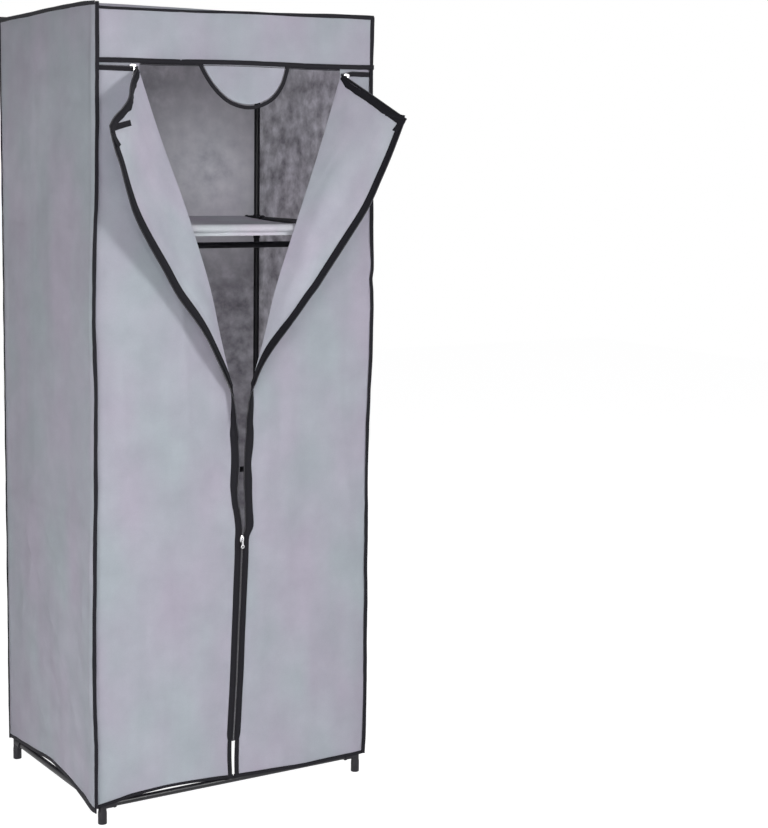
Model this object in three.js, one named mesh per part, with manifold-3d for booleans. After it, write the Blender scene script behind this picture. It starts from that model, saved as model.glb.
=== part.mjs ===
// Portable fabric wardrobe: steel tubes pushed into plastic connectors, dressed in a zipped cloth cover.
// Lengths are in millimetres. +Z is up, +X runs along the front, and the front faces -Y.
// It is drawn round the middle of its four feet. The last lines move that frame, so that the origin is
// the bottom centre of everything, door lapels included.

import * as THREE from 'three';
import { mergeVertices } from 'three/addons/utils/BufferGeometryUtils.js';
import Module from 'manifold-3d';

const wasm = await Module();
wasm.setup();

// Frame
const postSpacingX = 596;
const postSpacingY = 450;
const bottomRailHeight = 38;
const midRailHeight = 600;
const shelfRailHeight = 1180;
const topRailHeight = 1588;
const tubeDiameter = 13;
const tubeWall = 0.8;
const hangingRailDrop = 46;

// Connectors
const sleeveDiameter = 16.5;
const armLength = 28;
const sleeveLength = 44;
const jointSleeveLength = 27;
const collarDiameter = 18.5;
const collarLength = 4;
const socketWeb = 3;
const shoulderRise = 10;
const spigotLength = 25;
const footDiameter = 18;

// Cover
const clothThickness = 1.5;
const hemHeight = 42;
const zipLineHeight = 1487;
const doorCentreX = 8;
const zipFootX = -10;
const doorHalfWidth = 222;
const foldBottomHeight = 868;
const foldBottomHalfWidth = 18;
const slitHalfGap = 9;
const sliderHeight = 550;
const lapelAngles = { left: 142, right: 105 };

// Clearance kept between neighbouring pieces, and how far a cut runs past the face that it opens
const gap = 0.3;
const overrun = 2;

// How finely round and soft shapes are faceted
const tubeSides = 10;

const cloth = new THREE.MeshStandardMaterial({ color: 0xb0b2bc, roughness: 0.9, metalness: 0 });
const shelfCloth = new THREE.MeshStandardMaterial({ color: 0xb9bac2, roughness: 0.85, metalness: 0 });
const paintedSteel = new THREE.MeshStandardMaterial({ color: 0x16151a, roughness: 0.3, metalness: 0.2 });
const blackPlastic = new THREE.MeshStandardMaterial({ color: 0x24232a, roughness: 0.55, metalness: 0 });
const zipMetal = new THREE.MeshStandardMaterial({ color: 0xc9c9cc, roughness: 0.3, metalness: 1 });

const tubeRadius = tubeDiameter / 2;
const sleeveRadius = sleeveDiameter / 2;
const boreRadius = tubeRadius + gap;
const tubeStop = tubeRadius + socketWeb;
const halfX = postSpacingX / 2;
const halfY = postSpacingY / 2;
const collarRadius = collarDiameter / 2;
const hangingRailHeight = shelfRailHeight - hangingRailDrop;

// The cover lies a clearance outside the connectors' collars
const coverInnerX = halfX + collarRadius + gap;
const coverInnerY = halfY + collarRadius + gap;
const coverOuterX = coverInnerX + clothThickness;
const coverOuterY = coverInnerY + clothThickness;
const roofUnderside = topRailHeight + shoulderRise + gap;
const roofTop = roofUnderside + clothThickness;

const wardrobe = new THREE.Group();

function place(name, geometry, material, x = 0, y = 0, z = 0) {
  const mesh = new THREE.Mesh(geometry, material);
  mesh.name = name;
  mesh.position.set(x, y, z);
  wardrobe.add(mesh);
  return mesh;
}

// Joins and cuts of closed meshes

function toSolid(geometry) {
  const bare = geometry.clone();
  bare.deleteAttribute('normal');
  bare.deleteAttribute('uv');
  const merged = mergeVertices(bare);
  return new wasm.Manifold(new wasm.Mesh({
    numProp: 3,
    vertProperties: new Float32Array(merged.attributes.position.array),
    triVerts: new Uint32Array(merged.index.array),
  }));
}

function toGeometry(solid) {
  const mesh = solid.getMesh();
  const geometry = new THREE.BufferGeometry();
  geometry.setAttribute('position', new THREE.BufferAttribute(mesh.vertProperties, mesh.numProp));
  geometry.setIndex(new THREE.BufferAttribute(mesh.triVerts, 1));
  return geometry;
}

function build(joined, cuts = []) {
  let solid = toSolid(joined[0]);
  for (const piece of joined.slice(1)) solid = solid.add(toSolid(piece));
  for (const piece of cuts) solid = solid.subtract(toSolid(piece));
  return toGeometry(solid);
}

// Turned and straight shapes

// A profile of [radius, height] points, turned about +Z, closed along the axis or on itself
function turned(profile, sides = tubeSides) {
  const points = profile.map(([radius, height]) => new THREE.Vector2(radius, height));
  return new THREE.LatheGeometry(points, sides).rotateX(Math.PI / 2);
}

function rod(radius, from, to) {
  return turned([[0, from], [radius, from], [radius, to], [0, to]]);
}

// Turns a shape that was drawn along +Z to run along +X or -X, +Y or -Y
const alongX = (geometry, sign) => geometry.rotateY(sign * Math.PI / 2);
const alongY = (geometry, sign) => geometry.rotateX(-sign * Math.PI / 2);

// Steel tubes

function tubeGeometry(length) {
  const outer = tubeRadius;
  const inner = tubeRadius - tubeWall;
  return turned([[inner, 0], [outer, 0], [outer, length], [inner, length], [inner, 0]]);
}

function postTube(name, x, y, from, to) {
  place(name, tubeGeometry(to - from), paintedSteel, x, y, from);
}

const railEndX = halfX - tubeStop - gap;
const railEndY = halfY - tubeStop - gap;

function railAlongX(name, y, z, end = railEndX) {
  place(name, alongX(tubeGeometry(end + end), 1), paintedSteel, -end, y, z);
}

function railAlongY(name, x, z) {
  place(name, alongY(tubeGeometry(railEndY + railEndY), 1), paintedSteel, x, -railEndY, z);
}

const corners = [
  { name: 'front_left', x: -1, y: -1 },
  { name: 'front_right', x: 1, y: -1 },
  { name: 'back_left', x: -1, y: 1 },
  { name: 'back_right', x: 1, y: 1 },
];

// Each tube slips over the spigot of the connector below it and ends in the sleeve of the one above
for (const corner of corners) {
  const x = corner.x * halfX;
  const y = corner.y * halfY;
  const midBase = corner.y > 0 ? shoulderRise : tubeStop;
  const spans = {
    lower: [bottomRailHeight + shoulderRise, midRailHeight - tubeStop],
    middle: [midRailHeight + midBase, shelfRailHeight - tubeStop],
    upper: [shelfRailHeight + shoulderRise, topRailHeight - tubeStop],
  };
  for (const [part, [from, to]] of Object.entries(spans)) {
    postTube(`post_${corner.name}_${part}`, x, y, from + gap, to - gap);
  }
}

const levels = { bottom: bottomRailHeight, middle: midRailHeight, shelf: shelfRailHeight, top: topRailHeight };
for (const [level, height] of Object.entries(levels)) {
  if (level !== 'middle') railAlongX(`${level}_rail_front`, -halfY, height);
  railAlongX(`${level}_rail_back`, halfY, height);
  railAlongY(`${level}_rail_left`, -halfX, height);
  railAlongY(`${level}_rail_right`, halfX, height);
}

// Plastic connectors

const mouthTaper = { inset: 0.8, length: 6 };
const capChamfer = 1.5;
const foot = { edge: 1.2, neckTop: 10, neckBottom: 15 };

const mouthRadius = sleeveRadius - mouthTaper.inset;

function arm() {
  const collarStart = armLength - collarLength;
  return turned([[0, 0], [sleeveRadius, 0], [sleeveRadius, collarStart], [collarRadius, collarStart],
    [collarRadius, armLength], [0, armLength]]);
}

const armBore = () => rod(boreRadius, tubeStop, armLength + overrun);

// The upright body reaches down to a sleeve's mouth or to the floor, and up to a cap, a shoulder or a mouth
function uprightProfile(kind) {
  const bottom = {
    sleeve: [[mouthRadius, -sleeveLength], [sleeveRadius, mouthTaper.length - sleeveLength]],
    joint: [[mouthRadius, -jointSleeveLength], [sleeveRadius, mouthTaper.length - jointSleeveLength]],
    foot: [[footDiameter / 2 - foot.edge, -bottomRailHeight], [footDiameter / 2, foot.edge - bottomRailHeight],
      [footDiameter / 2, -foot.neckBottom], [sleeveRadius, -foot.neckTop]],
  }[kind.below];
  const top = {
    spigot: [[sleeveRadius, shoulderRise]],
    cap: [[sleeveRadius, shoulderRise - capChamfer], [sleeveRadius - capChamfer, shoulderRise]],
    joint: [[sleeveRadius, jointSleeveLength]],
  }[kind.above];
  const outline = [...bottom, ...top];
  return [[0, outline[0][1]], ...outline, [0, outline.at(-1)[1]]];
}

function connector(kind, signX, signY) {
  const joined = [turned(uprightProfile(kind))];
  const cuts = [];
  if (kind.above === 'spigot') {
    const spigotRadius = tubeRadius - tubeWall - gap;
    joined.push(rod(spigotRadius, 0, shoulderRise + spigotLength));
  }
  if (kind.above === 'joint') cuts.push(rod(boreRadius, tubeStop, jointSleeveLength + overrun));
  if (kind.below === 'sleeve') cuts.push(rod(boreRadius, -sleeveLength - overrun, -tubeStop));
  if (kind.below === 'joint') cuts.push(rod(boreRadius, -jointSleeveLength - overrun, -tubeStop));
  if (kind.railX) {
    joined.push(alongX(arm(), -signX));
    cuts.push(alongX(armBore(), -signX));
  }
  joined.push(alongY(arm(), -signY));
  cuts.push(alongY(armBore(), -signY));
  return build(joined, cuts);
}

const connectorKinds = {
  bottom: { below: 'foot', above: 'spigot', railX: true },
  middle_back: { below: 'sleeve', above: 'spigot', railX: true },
  middle_front: { below: 'joint', above: 'joint', railX: false },
  shelf: { below: 'sleeve', above: 'spigot', railX: true },
  top: { below: 'sleeve', above: 'cap', railX: true },
};

for (const [level, height] of Object.entries(levels)) {
  for (const corner of corners) {
    const row = corner.y > 0 ? 'back' : 'front';
    const kind = connectorKinds[level] ?? connectorKinds[`${level}_${row}`];
    const name = level === 'bottom' ? `foot_connector_${corner.name}` : `${level}_connector_${corner.name}`;
    place(name, connector(kind, corner.x, corner.y), blackPlastic, corner.x * halfX, corner.y * halfY, height);
  }
}

// Hanging rail and its two brackets

const bracket = {
  clipWidth: 16,
  socketStart: 2,
  socketLength: 34,
  webThickness: 5,
  clipWall: 4.5,
  gussetTop: 11,
  gussetReach: 30,
};
// The clip's outline, seen along the side rail: flat towards the cover, rounded towards the inside
const clipFlat = sleeveRadius;
const clipReach = tubeRadius + bracket.clipWall;

function bracketGeometry(side) {
  const inward = -side;
  const clipShape = new THREE.Shape();
  clipShape.moveTo(-inward * clipFlat, -clipFlat);
  clipShape.lineTo(-inward * clipFlat, clipFlat);
  clipShape.lineTo(-inward * clipFlat / 2, clipReach);
  clipShape.lineTo(inward * clipFlat / 2, clipReach);
  clipShape.lineTo(inward * clipReach, clipFlat / 2);
  clipShape.lineTo(inward * clipReach, -clipFlat);
  clipShape.lineTo(inward * clipFlat / 2, -clipReach);
  clipShape.lineTo(-inward * clipFlat / 2, -clipReach);
  clipShape.closePath();
  const clip = extrudedAlongY(clipShape, bracket.clipWidth);

  const socketBottom = hangingRailDrop + tubeRadius;
  const webShape = new THREE.Shape();
  webShape.moveTo(inward * bracket.socketStart, -tubeRadius);
  webShape.lineTo(inward * (bracket.socketStart + bracket.gussetTop), -tubeRadius);
  webShape.lineTo(inward * bracket.gussetReach, -hangingRailDrop);
  webShape.lineTo(inward * bracket.gussetReach, -socketBottom);
  webShape.lineTo(inward * bracket.socketStart, -socketBottom);
  webShape.closePath();
  const web = extrudedAlongY(webShape, bracket.webThickness);

  const socketEnd = bracket.socketStart + bracket.socketLength;
  const socket = alongX(rod(sleeveRadius, bracket.socketStart, socketEnd), inward);
  socket.translate(0, 0, -hangingRailDrop);
  const socketBore = alongX(rod(boreRadius, bracket.socketStart + socketWeb, socketEnd + overrun), inward);
  socketBore.translate(0, 0, -hangingRailDrop);
  const railBore = alongY(rod(boreRadius, -bracket.clipWidth, bracket.clipWidth), 1);
  return build([clip, web, socket], [railBore, socketBore]);
}

function extrudedAlongY(shape, thickness) {
  const geometry = new THREE.ExtrudeGeometry(shape, { depth: thickness, bevelEnabled: false });
  return geometry.translate(0, 0, -thickness / 2).rotateX(Math.PI / 2);
}

for (const [name, side] of [['left', -1], ['right', 1]]) {
  place(`hanging_bracket_${name}`, bracketGeometry(side), blackPlastic, side * halfX, 0, shelfRailHeight);
}
railAlongX('hanging_rail', 0, hangingRailHeight, halfX - bracket.socketStart - socketWeb - gap);

// Shelf cloth: a sleeve round the front and the back shelf rail, and a sheet that sags between them

const shelf = { endInset: 40, thickness: 1.2, sag: 8, steps: 8 };

function shelfGeometry() {
  const ringRadius = boreRadius + shelf.thickness;
  const undersideAngle = Math.asin((ringRadius - shelf.thickness) / ringRadius);
  const joinY = halfY - ringRadius * Math.cos(undersideAngle);
  const points = [];
  const sagAt = (y, reach) => shelf.sag * (1 - (y / reach) ** 2);
  const arc = (centreY, from, to) => {
    for (let step = 0; step <= tubeSides; step++) {
      const angle = from + (to - from) * step / tubeSides;
      points.push(new THREE.Vector2(centreY + ringRadius * Math.cos(angle), ringRadius * Math.sin(angle)));
    }
  };
  arc(halfY, Math.PI / 2, -Math.PI - undersideAngle);
  for (let step = 1; step < shelf.steps; step++) {
    const y = joinY - 2 * joinY * step / shelf.steps;
    points.push(new THREE.Vector2(y, ringRadius - shelf.thickness - sagAt(y, joinY)));
  }
  arc(-halfY, undersideAngle, -3 * Math.PI / 2);
  for (let step = 1; step < shelf.steps; step++) {
    const y = 2 * halfY * step / shelf.steps - halfY;
    points.push(new THREE.Vector2(y, ringRadius - sagAt(y, halfY)));
  }
  const shape = new THREE.Shape(points.reverse());
  for (const centreY of [halfY, -halfY]) {
    const hole = new THREE.Path();
    hole.absarc(centreY, 0, boreRadius, 0, 2 * Math.PI, true);
    shape.holes.push(hole);
  }
  const length = postSpacingX - 2 * shelf.endInset;
  const options = { depth: length, bevelEnabled: false, curveSegments: tubeSides };
  const geometry = new THREE.ExtrudeGeometry(shape, options).translate(0, 0, -length / 2);
  return geometry.rotateX(Math.PI / 2).rotateZ(Math.PI / 2);
}

place('shelf_cloth', shelfGeometry(), shelfCloth, 0, 0, shelfRailHeight);

// Cloth panels are closed sheets: two grids of points, one for each face, sewn along their rims.
// faceAt(u, v, face) gives a point, with u and v from 0 to 1 and face 0 outside or 1 inside.
// The outside face is seen with u to the right and v up.

function sheet(columns, rows, faceAt) {
  const positions = [];
  const triangles = [];
  const count = (columns + 1) * (rows + 1);
  const at = (column, row, face) => face * count + row * (columns + 1) + column;
  for (const face of [0, 1]) {
    for (let row = 0; row <= rows; row++) {
      for (let column = 0; column <= columns; column++) {
        positions.push(...faceAt(column / columns, row / rows, face));
      }
    }
  }
  const quad = (a, b, c, d) => triangles.push(a, b, c, a, c, d);
  for (let row = 0; row < rows; row++) {
    for (let column = 0; column < columns; column++) {
      const next = column + 1;
      quad(at(column, row, 0), at(next, row, 0), at(next, row + 1, 0), at(column, row + 1, 0));
      quad(at(column, row, 1), at(column, row + 1, 1), at(next, row + 1, 1), at(next, row, 1));
    }
    quad(at(0, row, 1), at(0, row, 0), at(0, row + 1, 0), at(0, row + 1, 1));
    quad(at(columns, row, 0), at(columns, row, 1), at(columns, row + 1, 1), at(columns, row + 1, 0));
  }
  for (let column = 0; column < columns; column++) {
    const next = column + 1;
    quad(at(column, 0, 1), at(next, 0, 1), at(next, 0, 0), at(column, 0, 0));
    quad(at(column, rows, 0), at(next, rows, 0), at(next, rows, 1), at(column, rows, 1));
  }
  const geometry = new THREE.BufferGeometry();
  geometry.setAttribute('position', new THREE.Float32BufferAttribute(positions, 3));
  geometry.setIndex(triangles);
  return geometry;
}

// A fold is a soft ridge that leans from one share of the panel's width at the hem to another at the top.
// It rises out of the panel, spreads to both sides and dies away at the panel's rim.
const rimSteepness = { across: 2, along: 3 };

function foldRise(folds, u, v) {
  let rise = 0;
  for (const fold of folds) {
    const ridge = fold.hemShare + (fold.topShare - fold.hemShare) * v;
    const across = (u - ridge) / fold.spreadShare;
    const along = (v - fold.middleShare) / fold.lengthShare;
    rise += fold.depth * Math.exp(-across * across - along * along);
  }
  const acrossFade = Math.min(1, rimSteepness.across * Math.sin(Math.PI * u));
  const alongFade = Math.min(1, rimSteepness.along * Math.sin(Math.PI * v));
  return rise * acrossFade * alongFade;
}

const panelTop = roofUnderside - gap;
const panelColumns = 8;
const panelRows = 12;

// Back, left and right panels: the left and right ones end a clearance behind the front and back ones

const backFolds = [
  { hemShare: 0.3, topShare: 0.25, middleShare: 0.55, spreadShare: 0.16, lengthShare: 0.4, depth: 5 },
  { hemShare: 0.72, topShare: 0.78, middleShare: 0.45, spreadShare: 0.16, lengthShare: 0.4, depth: 6 },
];
const sideFolds = [
  { hemShare: 0.34, topShare: 0.3, middleShare: 0.6, spreadShare: 0.18, lengthShare: 0.35, depth: 4 },
  { hemShare: 0.7, topShare: 0.76, middleShare: 0.35, spreadShare: 0.18, lengthShare: 0.3, depth: 5 },
];

const sheetHeight = (v) => hemHeight + (panelTop - hemHeight) * v;

place('cover_back', sheet(panelColumns, panelRows, (u, v, face) => {
  const x = coverOuterX - 2 * coverOuterX * u;
  return [x, coverOuterY - face * clothThickness + foldRise(backFolds, u, v), sheetHeight(v)];
}), cloth);

const sideReach = coverInnerY - gap;
place('cover_left', sheet(panelColumns, panelRows, (u, v, face) => {
  const y = sideReach - 2 * sideReach * u;
  return [face * clothThickness - coverOuterX - foldRise(sideFolds, u, v), y, sheetHeight(v)];
}), cloth);
place('cover_right', sheet(panelColumns, panelRows, (u, v, face) => {
  const y = 2 * sideReach * u - sideReach;
  return [coverOuterX - face * clothThickness + foldRise(sideFolds, 1 - u, v), y, sheetHeight(v)];
}), cloth);

// Cover cap: the roof, and the valance that is folded down from its front edge

const cap = { crown: 7, columns: 10, roofRows: 6, valanceRows: 2 };

place('cover_cap', sheet(cap.columns, cap.roofRows + cap.valanceRows, (u, v, face) => {
  const row = Math.round(v * (cap.roofRows + cap.valanceRows));
  const x = 2 * coverOuterX * u - coverOuterX;
  const drop = face * clothThickness;
  if (row <= cap.valanceRows) {
    const bottom = zipLineHeight + gap / 2;
    return [x, drop - coverOuterY, bottom + (roofTop - drop - bottom) * row / cap.valanceRows];
  }
  const back = (row - cap.valanceRows) / cap.roofRows;
  const front = -coverOuterY;
  const crown = cap.crown * Math.sin(Math.PI * u) * Math.sin(Math.PI * back);
  return [x, front + 2 * coverOuterY * back, roofTop - drop + crown];
}), cloth);

// Front panels: a straight corner edge, and an inner edge that follows the closed zip, the slit above the
// slider and the fold line of the door lapel

// The closed zip leans: from the door's centre at the slider to its own foot at the hem
const zipLean = (doorCentreX - zipFootX) / (sliderHeight - hemHeight);
const zipCentre = (z) => doorCentreX - zipLean * Math.max(0, sliderHeight - z);

const zipHalfGap = gap / 2;
const panelFrontTop = zipLineHeight - gap / 2;
const slitShares = [[0, 0], [0.12, 0.35], [0.45, 0.85], [1, 1]];

// Half the slit's width at a height: it opens from the slider to the foot of the fold line
function slitEdge(z) {
  const share = (z - sliderHeight) / (foldBottomHeight - sliderHeight);
  if (share <= 0) return zipHalfGap;
  for (let index = 1; index < slitShares.length; index++) {
    const [fromShare, fromWidthShare] = slitShares[index - 1];
    const [toShare, toWidthShare] = slitShares[index];
    if (share <= toShare) {
      const part = (share - fromShare) / (toShare - fromShare);
      const widthShare = fromWidthShare + (toWidthShare - fromWidthShare) * part;
      return zipHalfGap + (slitHalfGap - zipHalfGap) * widthShare;
    }
  }
  return slitHalfGap;
}

const foldSlope = (doorHalfWidth - foldBottomHalfWidth) / (zipLineHeight - foldBottomHeight);
const foldEdge = (z) => foldBottomHalfWidth + foldSlope * (z - foldBottomHeight);
const foldStart = foldBottomHeight + slitHalfGap / 2;

const frontRows = {
  zip: 6,
  slit: 4,
  fold: 8,
};
const frontColumns = 9;

// Height of a row: the closed zip, then the slit, then the fold line
function frontHeight(row) {
  const slitRow = row - frontRows.zip;
  const foldRow = slitRow - frontRows.slit - 1;
  if (slitRow <= 0) return hemHeight + (sliderHeight - hemHeight) * row / frontRows.zip;
  if (foldRow < 0) return sliderHeight + (foldBottomHeight - sliderHeight) * slitRow / frontRows.slit;
  return foldStart + (panelFrontTop - foldStart) * foldRow / frontRows.fold;
}

const frontFolds = {
  left: [
    { hemShare: 0.45, topShare: 0.3, middleShare: 0.42, spreadShare: 0.2, lengthShare: 0.28, depth: 6 },
    { hemShare: 0.74, topShare: 0.66, middleShare: 0.3, spreadShare: 0.12, lengthShare: 0.25, depth: 4 },
  ],
  right: [
    { hemShare: 0.55, topShare: 0.4, middleShare: 0.4, spreadShare: 0.2, lengthShare: 0.3, depth: 6 },
    { hemShare: 0.28, topShare: 0.36, middleShare: 0.3, spreadShare: 0.12, lengthShare: 0.2, depth: 4 },
  ],
};

function frontPanel(side) {
  const rows = frontRows.zip + frontRows.slit + frontRows.fold + 1;
  const folds = side < 0 ? frontFolds.left : frontFolds.right;
  return sheet(frontColumns, rows, (u, v, face) => {
    const row = Math.round(v * rows);
    const z = frontHeight(row);
    const inner = z >= foldStart ? foldEdge(z) : slitEdge(z);
    const edgeX = zipCentre(z) + side * inner;
    const fromLeft = side < 0 ? [-coverOuterX, edgeX] : [edgeX, coverOuterX];
    const x = fromLeft[0] + (fromLeft[1] - fromLeft[0]) * u;
    return [x, face * clothThickness - coverOuterY - foldRise(folds, u, v), z];
  });
}

place('front_left', frontPanel(-1), cloth);
place('front_right', frontPanel(1), cloth);

// Door lapels: the door's upper inner corner, drawn closed and then turned out about its fold line.
// The fold line lies in the outer face of the front panel, so that a lapel can lie back over the panel.

const lapel = { columns: 6, rows: 10, curlDepth: 4.5 };
const doorPoint = (x, z) => new THREE.Vector3(doorCentreX + x, -coverOuterY, z);
const foldTop = (side) => doorPoint(side * doorHalfWidth, zipLineHeight);
const foldFoot = (side) => doorPoint(side * foldBottomHalfWidth, foldBottomHeight);

// The cloth twists along the fold line: turns in degrees at shares of the lapel's height, outwards positive
const lapelTwists = {
  left: { heightShares: [0, 0.3, 0.45, 0.65, 1], turns: [-20, 0, 4, 4, -5] },
  right: { heightShares: [0, 0.3, 0.45, 0.65, 1], turns: [-44, -7, 4, 6, -3] },
};

function twistAt({ heightShares, turns }, share) {
  const next = Math.max(1, heightShares.findIndex((heightShare) => share <= heightShare));
  const part = (share - heightShares[next - 1]) / (heightShares[next] - heightShares[next - 1]);
  return THREE.MathUtils.degToRad(turns[next - 1] + (turns[next] - turns[next - 1]) * part);
}

function lapelGeometry(name, side) {
  const bottom = foldStart + gap;
  const height = panelFrontTop - bottom;
  return sheet(lapel.columns, lapel.rows, (u, v, face) => {
    const z = bottom + height * v;
    const outer = foldEdge(z) - 2 * gap;
    const inner = slitHalfGap + (zipHalfGap - slitHalfGap) * v;
    const reach = (outer - inner) * (side < 0 ? u : 1 - u);
    const turn = twistAt(lapelTwists[name], v);
    const curl = lapel.curlDepth * Math.sin(Math.PI * u) * Math.sin(Math.PI * v);
    const y = face * clothThickness - coverOuterY + curl - reach * Math.sin(turn);
    return [doorCentreX + side * (outer - reach * Math.cos(turn)), y, z];
  });
}

for (const [name, side] of [['left', -1], ['right', 1]]) {
  const pivot = new THREE.Group();
  const axis = foldFoot(side).sub(foldTop(side)).normalize();
  pivot.position.copy(foldTop(side));
  pivot.quaternion.setFromAxisAngle(axis, -side * THREE.MathUtils.degToRad(lapelAngles[name]));
  const mesh = new THREE.Mesh(lapelGeometry(name, side), cloth);
  mesh.name = `lapel_${name}`;
  mesh.position.copy(foldTop(side)).negate();
  pivot.add(mesh);
  wardrobe.add(pivot);
}

// Half-moon tab: hangs from the valance, outside the doors

const halfMoon = { halfWidth: 94, depth: 87, top: 13, segments: 20 };

function halfMoonGeometry() {
  const shape = new THREE.Shape();
  shape.moveTo(-halfMoon.halfWidth, 0);
  shape.absellipse(0, 0, halfMoon.halfWidth, halfMoon.depth, Math.PI, 2 * Math.PI, false);
  shape.closePath();
  const options = { depth: clothThickness, bevelEnabled: false, curveSegments: halfMoon.segments };
  return new THREE.ExtrudeGeometry(shape, options).rotateX(Math.PI / 2);
}

const tabTop = zipLineHeight + halfMoon.top;
place('half_moon_tab', halfMoonGeometry(), cloth, doorCentreX, -coverOuterY - gap, tabTop);

// Zip sliders: a plate against the cloth, two lugs and a pin for the pull

const slider = { width: 9, length: 14, thickness: 2, lugThickness: 1.4, pinRadius: 0.9, sides: 8 };
const pull = { width: 7, length: 20, thickness: 1.4, eyeRadius: 2.2, holeRadius: 1.3 };
const pinLift = slider.thickness + pull.eyeRadius + gap;
const lugGap = slider.width / 2 - slider.lugThickness;

// Drawn with the zip along Z, its back on the plane y = 0 and its front towards -Y
function sliderParts() {
  const plateShape = new THREE.Shape();
  plateShape.moveTo(-slider.width / 3, -slider.length / 2);
  plateShape.lineTo(slider.width / 3, -slider.length / 2);
  plateShape.lineTo(slider.width / 2, slider.length / 6);
  plateShape.lineTo(slider.width / 4, slider.length / 2);
  plateShape.lineTo(-slider.width / 4, slider.length / 2);
  plateShape.lineTo(-slider.width / 2, slider.length / 6);
  plateShape.closePath();
  const plate = extrudedAlongY(plateShape, slider.thickness).translate(0, -slider.thickness / 2, 0);
  const lugReach = pinLift + 2 * slider.pinRadius;
  const parts = [plate];
  for (const side of [-1, 1]) {
    const lug = new THREE.BoxGeometry(slider.lugThickness, lugReach, 2 * pull.eyeRadius);
    parts.push(lug.translate(side * (lugGap + slider.lugThickness) / 2, -lugReach / 2, 0));
  }
  const pin = turned([[0, -lugGap], [slider.pinRadius, -lugGap], [slider.pinRadius, lugGap], [0, lugGap]],
    slider.sides);
  parts.push(alongX(pin, 1).translate(0, -pinLift, 0));
  return parts;
}

// The pull hangs from the pin by its eye
function pullGeometry() {
  const half = pull.width / 2;
  const neck = lugGap / 2 - gap;
  const shape = new THREE.Shape();
  shape.moveTo(-neck, 0);
  shape.lineTo(-neck, -pull.eyeRadius * 2);
  shape.lineTo(-half, -pull.length / 2);
  shape.lineTo(-half / 2, -pull.length);
  shape.lineTo(half / 2, -pull.length);
  shape.lineTo(half, -pull.length / 2);
  shape.lineTo(neck, -pull.eyeRadius * 2);
  shape.lineTo(neck, 0);
  shape.closePath();
  const blade = extrudedAlongY(shape, pull.thickness);
  const eye = alongX(turned([[0, -neck], [pull.eyeRadius, -neck], [pull.eyeRadius, neck], [0, neck]],
    slider.sides), 1);
  const hole = alongX(turned([[0, -slider.width], [pull.holeRadius, -slider.width],
    [pull.holeRadius, slider.width], [0, slider.width]], slider.sides), 1);
  return build([blade, eye], [hole]);
}

const sliderPlane = -coverOuterY - gap;
place('centre_slider', build(sliderParts()), zipMetal, doorCentreX, sliderPlane, sliderHeight);
place('centre_pull', pullGeometry(), zipMetal, doorCentreX, sliderPlane - pinLift, sliderHeight);

// The sliders of the two zips under the valance lie across, each in one piece with its hanging pull
const sideSliderInset = 16;

function sideSliderGeometry() {
  const parts = sliderParts().map((part) => part.rotateY(Math.PI / 2));
  const tab = new THREE.BoxGeometry(pull.width, pull.thickness, pull.length);
  tab.translate(0, -pinLift, -pull.length / 2);
  return build([...parts, tab]);
}

for (const [name, side] of [['left', -1], ['right', 1]]) {
  const x = doorCentreX + side * (doorHalfWidth + sideSliderInset);
  place(`${name}_slider`, sideSliderGeometry(), zipMetal, x, sliderPlane, zipLineHeight);
}

// Move the origin to the bottom centre of the whole wardrobe
wardrobe.updateMatrixWorld(true);
const bounds = new THREE.Box3().setFromObject(wardrobe, true);
const centre = bounds.getCenter(new THREE.Vector3());
wardrobe.position.set(-centre.x, -centre.y, -bounds.min.z);

export default wardrobe;
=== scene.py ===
import math
import bpy
from mathutils import Matrix, Vector, noise


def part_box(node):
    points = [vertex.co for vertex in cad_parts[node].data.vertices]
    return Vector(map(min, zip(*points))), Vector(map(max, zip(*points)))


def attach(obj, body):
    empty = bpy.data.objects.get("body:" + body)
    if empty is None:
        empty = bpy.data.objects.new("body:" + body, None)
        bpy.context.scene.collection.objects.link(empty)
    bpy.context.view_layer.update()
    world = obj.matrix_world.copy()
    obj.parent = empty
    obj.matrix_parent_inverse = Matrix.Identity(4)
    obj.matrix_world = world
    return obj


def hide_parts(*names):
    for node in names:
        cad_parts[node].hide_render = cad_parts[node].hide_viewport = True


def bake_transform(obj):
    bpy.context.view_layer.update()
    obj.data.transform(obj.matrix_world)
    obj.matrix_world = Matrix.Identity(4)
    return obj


# A portable fabric wardrobe: black steel tubes in plastic connectors, under a zipped cloth cover.
# Places are in millimetres from the middle of the four feet: x to the right, y to the back, z up.
# at() turns them into the frame's metres.

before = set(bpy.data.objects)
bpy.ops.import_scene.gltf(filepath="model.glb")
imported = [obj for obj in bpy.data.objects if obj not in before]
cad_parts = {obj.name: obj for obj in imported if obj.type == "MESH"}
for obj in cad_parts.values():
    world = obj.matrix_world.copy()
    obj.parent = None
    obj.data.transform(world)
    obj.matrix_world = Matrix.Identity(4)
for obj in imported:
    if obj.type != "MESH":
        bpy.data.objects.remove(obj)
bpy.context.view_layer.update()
bpy.ops.object.select_all(action="DESELECT")

mm = 0.001
shelfLow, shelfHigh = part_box("shelf_cloth")
home = Vector(((shelfLow.x + shelfHigh.x) / 2, (shelfLow.y + shelfHigh.y) / 2, 0))
sideSign = {"left": -1, "right": 1}  # which way along x each side lies

# The frame's centre lines
frameLines = {"postX": 298, "postY": 225, "levels": {"foot": 38, "middle": 600, "shelf": 1180, "top": 1588}}


def at(x, y, z):
    return home + Vector((x, y, z)) * mm


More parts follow.
